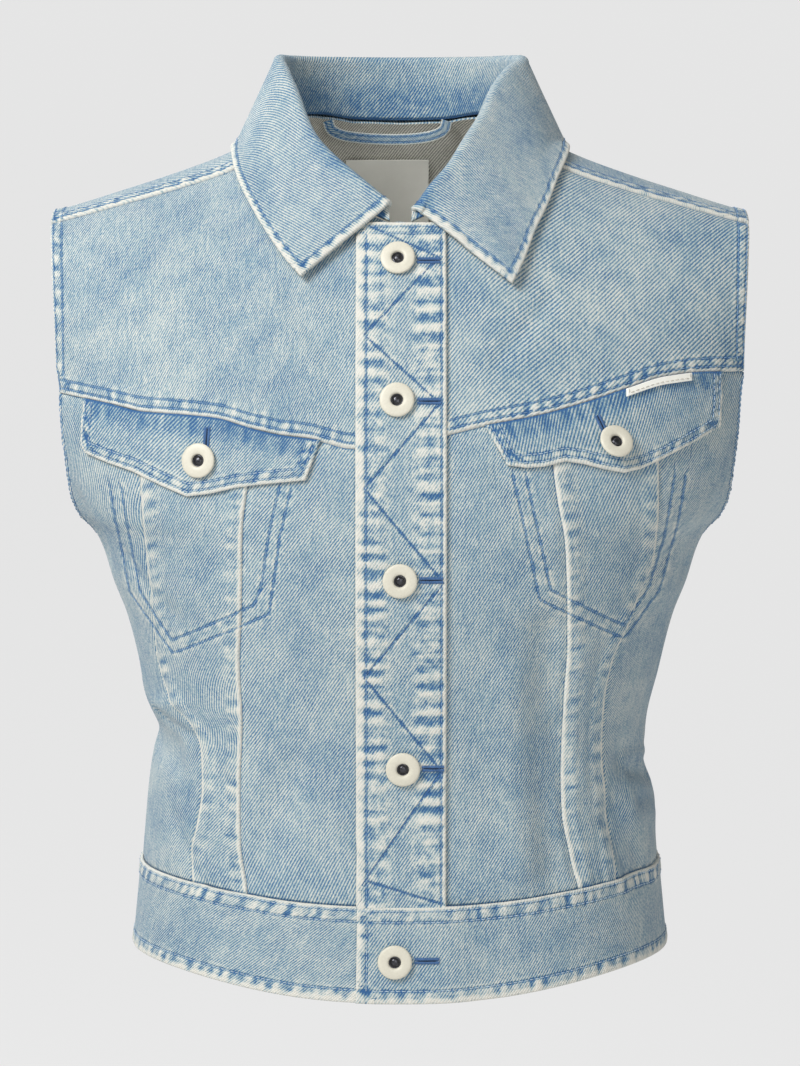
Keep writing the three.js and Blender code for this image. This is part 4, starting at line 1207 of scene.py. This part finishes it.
def stitch_mesh(name, places, material, length=STITCH_LENGTH, radius=STITCH_RADIUS):
    """One mesh of arched threads at the places, each a middle, a direction and a normal."""
    middles, ways, normals = (np.concatenate(column) for column in zip(*places))
    sides = unit(np.cross(normals, ways))
    angles = np.arange(STITCH_SIDES) * 2 * math.pi / STITCH_SIDES
    points = []
    for along, share in STITCH_RINGS:
        arch = radius * (0.9 * (1 - (2 * along) ** 2) - 0.15)
        ring_middle = middles + ways * along * length + normals * arch
        for angle in angles:
            points.append(ring_middle + radius * share
                          * (sides * math.cos(angle) + normals * 0.8 * math.sin(angle)))
    points = np.stack(points, 1).reshape(-1, 3)
    rings = len(STITCH_RINGS)
    quads = tube_quads(rings, STITCH_SIDES)[:, ::-1]
    starts = np.arange(len(middles)) * rings * STITCH_SIDES
    faces = (quads + starts[:, None, None]).reshape(-1, 4)
    obj = new_object(name, points, faces, [material])
    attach(obj, "root")


def sheet_stitches(sheet):
    """Places of the stitches along a sheet's edges, by their thread."""
    places = {}
    for edge, kind in sheet.edges.items():
        mask = None
        if isinstance(kind, tuple):
            mask, kind = kind[2], kind[1]
        look = EDGES[kind]
        for distance in look["rows"] if look["thread"] else ():
            trim = [corner_trim(sheet.edges[other], distance) for other in BESIDE[edge]]
            for points, normals in sheet.row(edge, distance, trim, mask):
                row = along_row(points, normals, STITCH_PITCH)
                places.setdefault(look["thread"], []).append(row)
    return places


def corner_trim(kind, distance):
    """Where a row turns a corner it starts at its own distance from the next edge."""
    if isinstance(kind, tuple) or not EDGES[kind]["thread"]:
        return 0.8
    return distance


def add_stitches():
    for group, words in STITCH_GROUPS.items():
        threads = {}
        for name, sheet in SHEETS.items():
            if name.replace("cloth_", "").startswith(words):
                for thread, places in sheet_stitches(sheet).items():
                    threads.setdefault(thread, []).extend(places)
        for thread, places in threads.items():
            stitch_mesh(f"stitches_{group}_{thread}", places, thread)


def front_tree():
    points, faces, start = [], [], 0
    for name, sheet in SHEETS.items():
        if name.replace("cloth_", "").startswith(FRONT_NAMES):
            rows, columns = sheet.base.shape[:2]
            points.append(sheet.outer.reshape(-1, 3))
            faces.append(grid_quads(np.arange(rows * columns).reshape(rows, columns) + start))
            start += rows * columns
    return BVHTree.FromPolygons(np.concatenate(points).tolist(), np.concatenate(faces).tolist())


def draped(tree, route, step=1.2):
    """Points and normals where a route of x, z lies on the front."""
    route = np.array(route, float)
    run = run_of(route)
    at = np.linspace(0, run[-1], max(int(run[-1] / step), 2) + 1)
    points, normals = [], []
    for x, z in zip(np.interp(at, run, route[:, 0]), np.interp(at, run, route[:, 1])):
        place, normal, _, _ = tree.ray_cast(Vector((x, -300, z)), Vector((0, 1, 0)))
        if place is not None:
            points.append(place)
            normals.append(normal if normal.y < 0 else -normal)
    return np.array(points), unit(np.array(normals))


def add_front_rows(tree):
    zigzag = draped(tree, ZIGZAG)
    stitch_mesh("stitches_zigzag", [along_row(*zigzag, STITCH_PITCH)], "thread_deep")
    rows = [along_row(*draped(tree, route), STITCH_PITCH) for route in POCKET_ROWS]
    stitch_mesh("stitches_pocket_bags", rows, "thread_blue")


def add_buttonholes(tree):
    """Each hole is a dark slit of painted shadow between two rows of close stitches that lie across
    it.
    """
    close, slits = [], []
    for start, end in HOLES:
        points, normals = draped(tree, (start, end), 0.6)
        middles, ways, normals = along_row(points, normals, 0.62)
        sides = unit(np.cross(normals, ways))
        for sign in (-1, 1):
            close.append((middles + sides * sign * 0.95 + normals * 0.15, sides, normals))
        slits.append(along_row(points, np.broadcast_to(normals[:1], points.shape), 30))
    stitch_mesh("buttonholes", close, "thread_deep", length=1.7, radius=0.36)
    stitch_mesh("buttonhole_slits", slits, "slit", length=11, radius=0.34)


# Buttons

def surface_normal(x, z):
    step = 0.05
    along = front_point(x + step, z) - front_point(x - step, z)
    across = front_point(x, z + step) - front_point(x, z - step)
    return unit(np.cross(along, across))


def add_button(name, x, z, base, lean):
    """A ring of ivory enamel round the head of its dark stud."""
    normal = surface_normal(x, z)
    a = math.radians(lean)
    turned = np.array([normal[0], normal[1] * math.cos(a) + normal[2] * math.sin(a),
                       normal[2] * math.cos(a) - normal[1] * math.sin(a)])
    middle = front_point(x, z) + normal * (base + BUTTON_LIE + BUTTON_SEAT_RADIUS * math.sin(a))
    right = unit(np.cross(turned, [0, 0, 1.0]))
    up = np.cross(right, turned)
    angles = np.arange(BUTTON_SIDES) * 2 * math.pi / BUTTON_SIDES
    ring = right * np.cos(angles)[:, None] + up * np.sin(angles)[:, None]
    points = np.concatenate([middle + ring * r + turned * h for r, h in BUTTON_PROFILE])
    rings = len(BUTTON_PROFILE)
    kinds = np.repeat(np.arange(rings - 1) >= BUTTON_STUD_ROW, BUTTON_SIDES).astype(int)
    faces = tube_quads(rings, BUTTON_SIDES)
    obj = new_object("metal_" + name, points, faces, ["ivory", "stud"], kinds)
    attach(obj, "root")
    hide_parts(name)


# Materials

class Nodes:
    """Short ways to add the nodes of one material."""

    def __init__(self, name):
        self.material = bpy.data.materials.new(name)
        self.material.use_nodes = True
        self.tree = self.material.node_tree
        self.shader = self.tree.nodes["Principled BSDF"]

    def add(self, kind, inputs=None, **settings):
        node = self.tree.nodes.new(kind)
        for key, value in settings.items():
            setattr(node, key, value)
        for key, value in (inputs or {}).items():
            self.put(node.inputs[key], value)
        return node

    def put(self, socket, value):
        if isinstance(value, bpy.types.NodeSocket):
            self.tree.links.new(value, socket)
        else:
            socket.default_value = value

    def math(self, operation, *values):
        node = self.add("ShaderNodeMath", operation=operation)
        for socket, value in zip(node.inputs, values):
            self.put(socket, value)
        return node.outputs[0]

    def total(self, start, *terms):
        """start plus each value times its weight."""
        for value, weight in terms:
            start = self.math("MULTIPLY_ADD", value, weight, start)
        return start

    def most(self, first, *others):
        for other in others:
            first = self.math("MAXIMUM", first, other)
        return first

    def cloth_place(self, turn=0.0, scale=(1, 1, 1)):
        """The cloth's own lengths in millimetres, turned and scaled."""
        uv = self.add("ShaderNodeUVMap", uv_map="cloth").outputs[0]
        inputs = {"Vector": uv, "Rotation": (0, 0, turn), "Scale": scale}
        return self.add("ShaderNodeMapping", inputs).outputs[0]

    def noise(self, place, scale, detail=3.0, rough=0.55):
        inputs = {"Vector": place, "Scale": scale, "Detail": detail, "Roughness": rough}
        node = self.add("ShaderNodeTexNoise", inputs)
        return self.math("SUBTRACT", node.outputs[0], 0.5)

    def step(self, value, low, high):
        inputs = {"Value": value, "From Min": low, "From Max": high}
        node = self.add("ShaderNodeMapRange", inputs, interpolation_type="SMOOTHSTEP")
        return node.outputs[0]

    def near_line(self, distance, low, high):
        """1 on a line, from its signed distance, and 0 beyond high."""
        return self.step(self.math("ABSOLUTE", distance), high, low)

    def attribute(self, name):
        vector = self.add("ShaderNodeAttribute", attribute_name=name).outputs["Vector"]
        return self.add("ShaderNodeSeparateXYZ", {"Vector": vector}).outputs

    def ramp(self, value, stops):
        node = self.add("ShaderNodeValToRGB", {"Fac": value})
        ramp = node.color_ramp
        while len(ramp.elements) < len(stops):
            ramp.elements.new(0.5)
        for element, (place, colour) in zip(ramp.elements, stops):
            element.position = place
            element.color = colour
        return node.outputs[0]

    def bump(self, height, strength, distance):
        inputs = {"Height": height, "Strength": strength, "Distance": distance}
        self.put(self.shader.inputs["Normal"], self.add("ShaderNodeBump", inputs).outputs[0])

    def finish(self, colour, roughness, **plain):
        self.put(self.shader.inputs["Base Color"], colour)
        self.shader.inputs["Roughness"].default_value = roughness
        for key, value in plain.items():
            self.shader.inputs[key.replace("_", " ")].default_value = value
        return self.material


def twill(nodes):
    """Diagonal lines of the weave, broken up by the yarns."""
    inputs = {"Vector": nodes.cloth_place(TWILL_TURN), "Scale": WAVE_UNIT / TWILL_PERIOD,
              "Distortion": 1.7, "Detail": 3.0, "Detail Scale": 4.5}
    wave = nodes.add("ShaderNodeTexWave", inputs, wave_type="BANDS", bands_direction="X")
    return nodes.math("SUBTRACT", wave.outputs["Fac"], 0.5)


def make_denim():
    """Washed denim: twill, slub and fade, pale worn rims and lumps, blue seam grooves, and painted
    shadow lines and painted shade beside lapped edges.
    """
    nodes = Nodes("washed denim")
    near, one, two = nodes.attribute("near")
    pucker, band, shade = nodes.attribute("lumps")
    first, second, _ = nodes.attribute("crossing")
    plain = nodes.cloth_place()
    fade = nodes.noise(plain, 0.07, 2.0)
    weave = nodes.math("MULTIPLY", twill(nodes), nodes.math("ADD", fade, 0.95))
    slub = nodes.noise(nodes.cloth_place(scale=(1.1, 0.09, 1)), 0.9)
    mottle = nodes.noise(plain, 0.75, 4.0, 0.7)
    cloud = nodes.noise(plain, 0.022, 2.0)
    patch = nodes.noise(plain, 0.11, 3.0, 0.6)
    blotch = nodes.noise(plain, 0.2, 2.0, 0.5)
    rim = nodes.total(near, (mottle, 1.3), (patch, 1.1))
    worn = nodes.step(rim, 1.3, 0.6)
    # dark lines: the grooves of stitch rows, and painted shadow along rows without thread
    groove_and_shadow = nodes.most(*(nodes.near_line(row, 0.2, 1.3) for row in (one, two, first, second)))
    beside = nodes.most(band, *(nodes.near_line(row, 1.0, 4.0) for row in (first, second)))
    blots = nodes.math("MULTIPLY", beside, nodes.math("ADD", blotch, 0.07))
    lumps = nodes.math("MULTIPLY", pucker, nodes.math("ADD", patch, 0.8))
    # dark: painted shade below the yoke's lap and at the foot of the collar
    dark = nodes.math("MULTIPLY", shade, nodes.total(0.5, (patch, 1.6), (blotch, 1.2)))
    value = nodes.total(0.475, (weave, 0.54), (slub, 0.5), (mottle, 0.85), (cloud, 0.48),
                        (patch, 0.32), (lumps, 0.42), (blots, 1.2), (worn, 0.42),
                        (groove_and_shadow, -0.36), (dark, -0.5))
    colour = nodes.ramp(value, [(0.04, DEEP), (0.3, MID), (0.52, LIGHT), (0.74, PALE),
                                (0.98, CREAM)])
    height = nodes.total(0.0, (weave, 0.5), (slub, 0.35), (mottle, 0.6), (groove_and_shadow, -0.9))
    nodes.bump(height, 0.6, 0.0005)
    return nodes.finish(colour, 0.88, Sheen_Weight=0.08, Specular_IOR_Level=0.25)


def make_lining():
    """The cloth's unwashed side: beige grey twill."""
    nodes = Nodes("denim inside")
    plain = nodes.cloth_place()
    weave = twill(nodes)
    mottle = nodes.noise(plain, 0.8, 4.0, 0.7)
    cloud = nodes.noise(plain, 0.03, 2.0)
    value = nodes.total(0.5, (weave, 0.75), (mottle, 0.5), (cloud, 0.5))
    colour = nodes.ramp(value, [(0.1, (0.24, 0.24, 0.215, 1)), (0.5, (0.5, 0.49, 0.44, 1)),
                                (0.9, (0.78, 0.76, 0.68, 1))])
    nodes.bump(nodes.total(0.0, (weave, 0.6), (mottle, 0.4)), 0.5, 0.0004)
    return nodes.finish(colour, 0.92, Specular_IOR_Level=0.2)


def make_satin():
    """Cream label tape with a fine crosswise weave."""
    nodes = Nodes("label satin")
    weave = nodes.noise(nodes.cloth_place(scale=(0.5, 6, 1)), 1.0)
    cloud = nodes.noise(nodes.cloth_place(), 0.12)
    value = nodes.total(0.5, (weave, 0.5), (cloud, 0.4))
    colour = nodes.ramp(value, [(0.2, (0.82, 0.81, 0.74, 1)), (0.8, (0.93, 0.92, 0.85, 1))])
    nodes.bump(weave, 0.25, 0.0002)
    return nodes.finish(colour, 0.5, Sheen_Weight=0.2, Specular_IOR_Level=0.4)


def make_grained(name, tones, dark, light, relief, roughness, **plain):
    """Two shades mixed by noises of a scale, a detail and a weight; the first is its relief."""
    nodes = Nodes(name)
    place = nodes.add("ShaderNodeTexCoord").outputs["Object"]
    noises = [(nodes.noise(place, scale, detail), weight) for scale, detail, weight in tones]
    shades = [(0.2, (*dark, 1)), (0.8, (*light, 1))]
    colour = nodes.ramp(nodes.total(0.5, *noises), shades)
    if relief:
        nodes.bump(noises[0][0], relief, 0.0002)
    return nodes.finish(colour, roughness, **plain)


def make_thread(name, colour):
    """Spun thread: its twist shows in the relief, and its colour varies along the row."""
    tones = [(2500.0, 3.0, 0.0), (350.0, 3.0, 0.9)]
    dark, light = ([min(c * share, 1) for c in colour] for share in (0.75, 1.2))
    return make_grained(name, tones, dark, light, 0.4, 0.8, Specular_IOR_Level=0.3)


def make_ivory():
    tones = [(900.0, 4.0, 0.6), (120.0, 3.0, 0.5)]
    return make_grained("ivory enamel", tones, (0.58, 0.55, 0.45), (0.7, 0.67, 0.56), 0.12, 0.42,
                        Specular_IOR_Level=0.45)


def make_stud():
    """The dark rivet in the middle of a button."""
    tones = [(1500.0, 4.0, 0.9)]
    return make_grained("dark metal", tones, (0.03, 0.03, 0.035), (0.1, 0.1, 0.11), 0.2, 0.3,
                        Metallic=0.85)


def make_backdrop():
    """Paper that glows a little, so that it stays as pale as the photograph's background."""
    return make_grained("pale paper", [(3.0, 3.0, 0.3)], (0.1,) * 3, (0.11,) * 3, 0, 0.95,
                        Specular_IOR_Level=0.05, Emission_Color=(1, 1, 1, 1),
                        Emission_Strength=BACKDROP_GLOW)


MATERIALS = {
    "denim": make_denim(),
    "lining": make_lining(),
    "satin": make_satin(),
    "thread_blue": make_thread("blue thread", (0.2, 0.32, 0.48)),
    "thread_pale": make_thread("pale blue thread", (0.42, 0.52, 0.6)),
    "thread_deep": make_thread("dark blue thread", (0.075, 0.16, 0.33)),
    "thread_cream": make_thread("cream thread", (0.6, 0.57, 0.5)),
    "slit": make_thread("shadow in the buttonhole", (0.01, 0.015, 0.03)),
    "ivory": make_ivory(),
    "stud": make_stud(),
    "backdrop": make_backdrop(),
}


# Studio

def add_camera():
    data = bpy.data.cameras.new("camera")
    data.lens = LENS
    data.sensor_width = 36
    camera = bpy.data.objects.new("camera", data)
    camera.location = (0, CAMERA_Y, CAMERA_Z)
    camera.rotation_euler = (math.radians(90 - CAMERA_PITCH), 0, 0)
    bpy.context.scene.collection.objects.link(camera)
    bpy.context.scene.camera = camera


def add_backdrop():
    """A pale floor that curves up into the wall behind the vest."""
    angles = np.linspace(0, math.pi / 2, 24)
    curve = [(WALL_Y - CURVE_RADIUS + CURVE_RADIUS * math.sin(a),
              FLOOR_Z + CURVE_RADIUS * (1 - math.cos(a))) for a in angles]
    line = [(FLOOR_FRONT, FLOOR_Z)] + curve + [(WALL_Y, WALL_TOP)]
    points = np.array([(x, y, z) for y, z in line for x in (-5.0, 5.0)]) / MM
    faces = np.array([(2 * i, 2 * i + 1, 2 * i + 3, 2 * i + 2) for i in range(len(line) - 1)])
    new_object("backdrop", points, faces, ["backdrop"])


def add_lights():
    for name, place, target, size, watts in LIGHTS:
        data = bpy.data.lights.new(name, "AREA")
        data.energy = watts
        data.size = size
        light = bpy.data.objects.new(name, data)
        light.location = place
        way = Vector(target) - Vector(place)
        light.rotation_euler = way.to_track_quat("-Z", "Y").to_euler()
        bpy.context.scene.collection.objects.link(light)


def add_world():
    world = bpy.data.worlds.new("studio")
    world.use_nodes = True
    background = world.node_tree.nodes["Background"]
    background.inputs["Color"].default_value = WORLD_COLOUR
    background.inputs["Strength"].default_value = WORLD_STRENGTH
    bpy.context.scene.world = world
    bpy.context.scene.view_settings.view_transform = "Standard"


def add_cloth():
    add_front(-1, "left", UNDERLAP)
    add_front(1, "right", OVERLAP_X)
    add_back_yoke()
    add_back_panel()
    add_waistband()
    add_placket()
    add_collar()
    for name in FLAPS:
        add_flap(name)
    add_loop()
    add_label()
    add_tab()


def add_sewing():
    tree = front_tree()
    add_stitches()
    add_front_rows(tree)
    add_buttonholes(tree)
    for button in BUTTONS:
        add_button(*button)


def main():
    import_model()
    add_camera()
    add_cloth()
    add_sewing()
    add_backdrop()
    add_lights()
    add_world()


main()
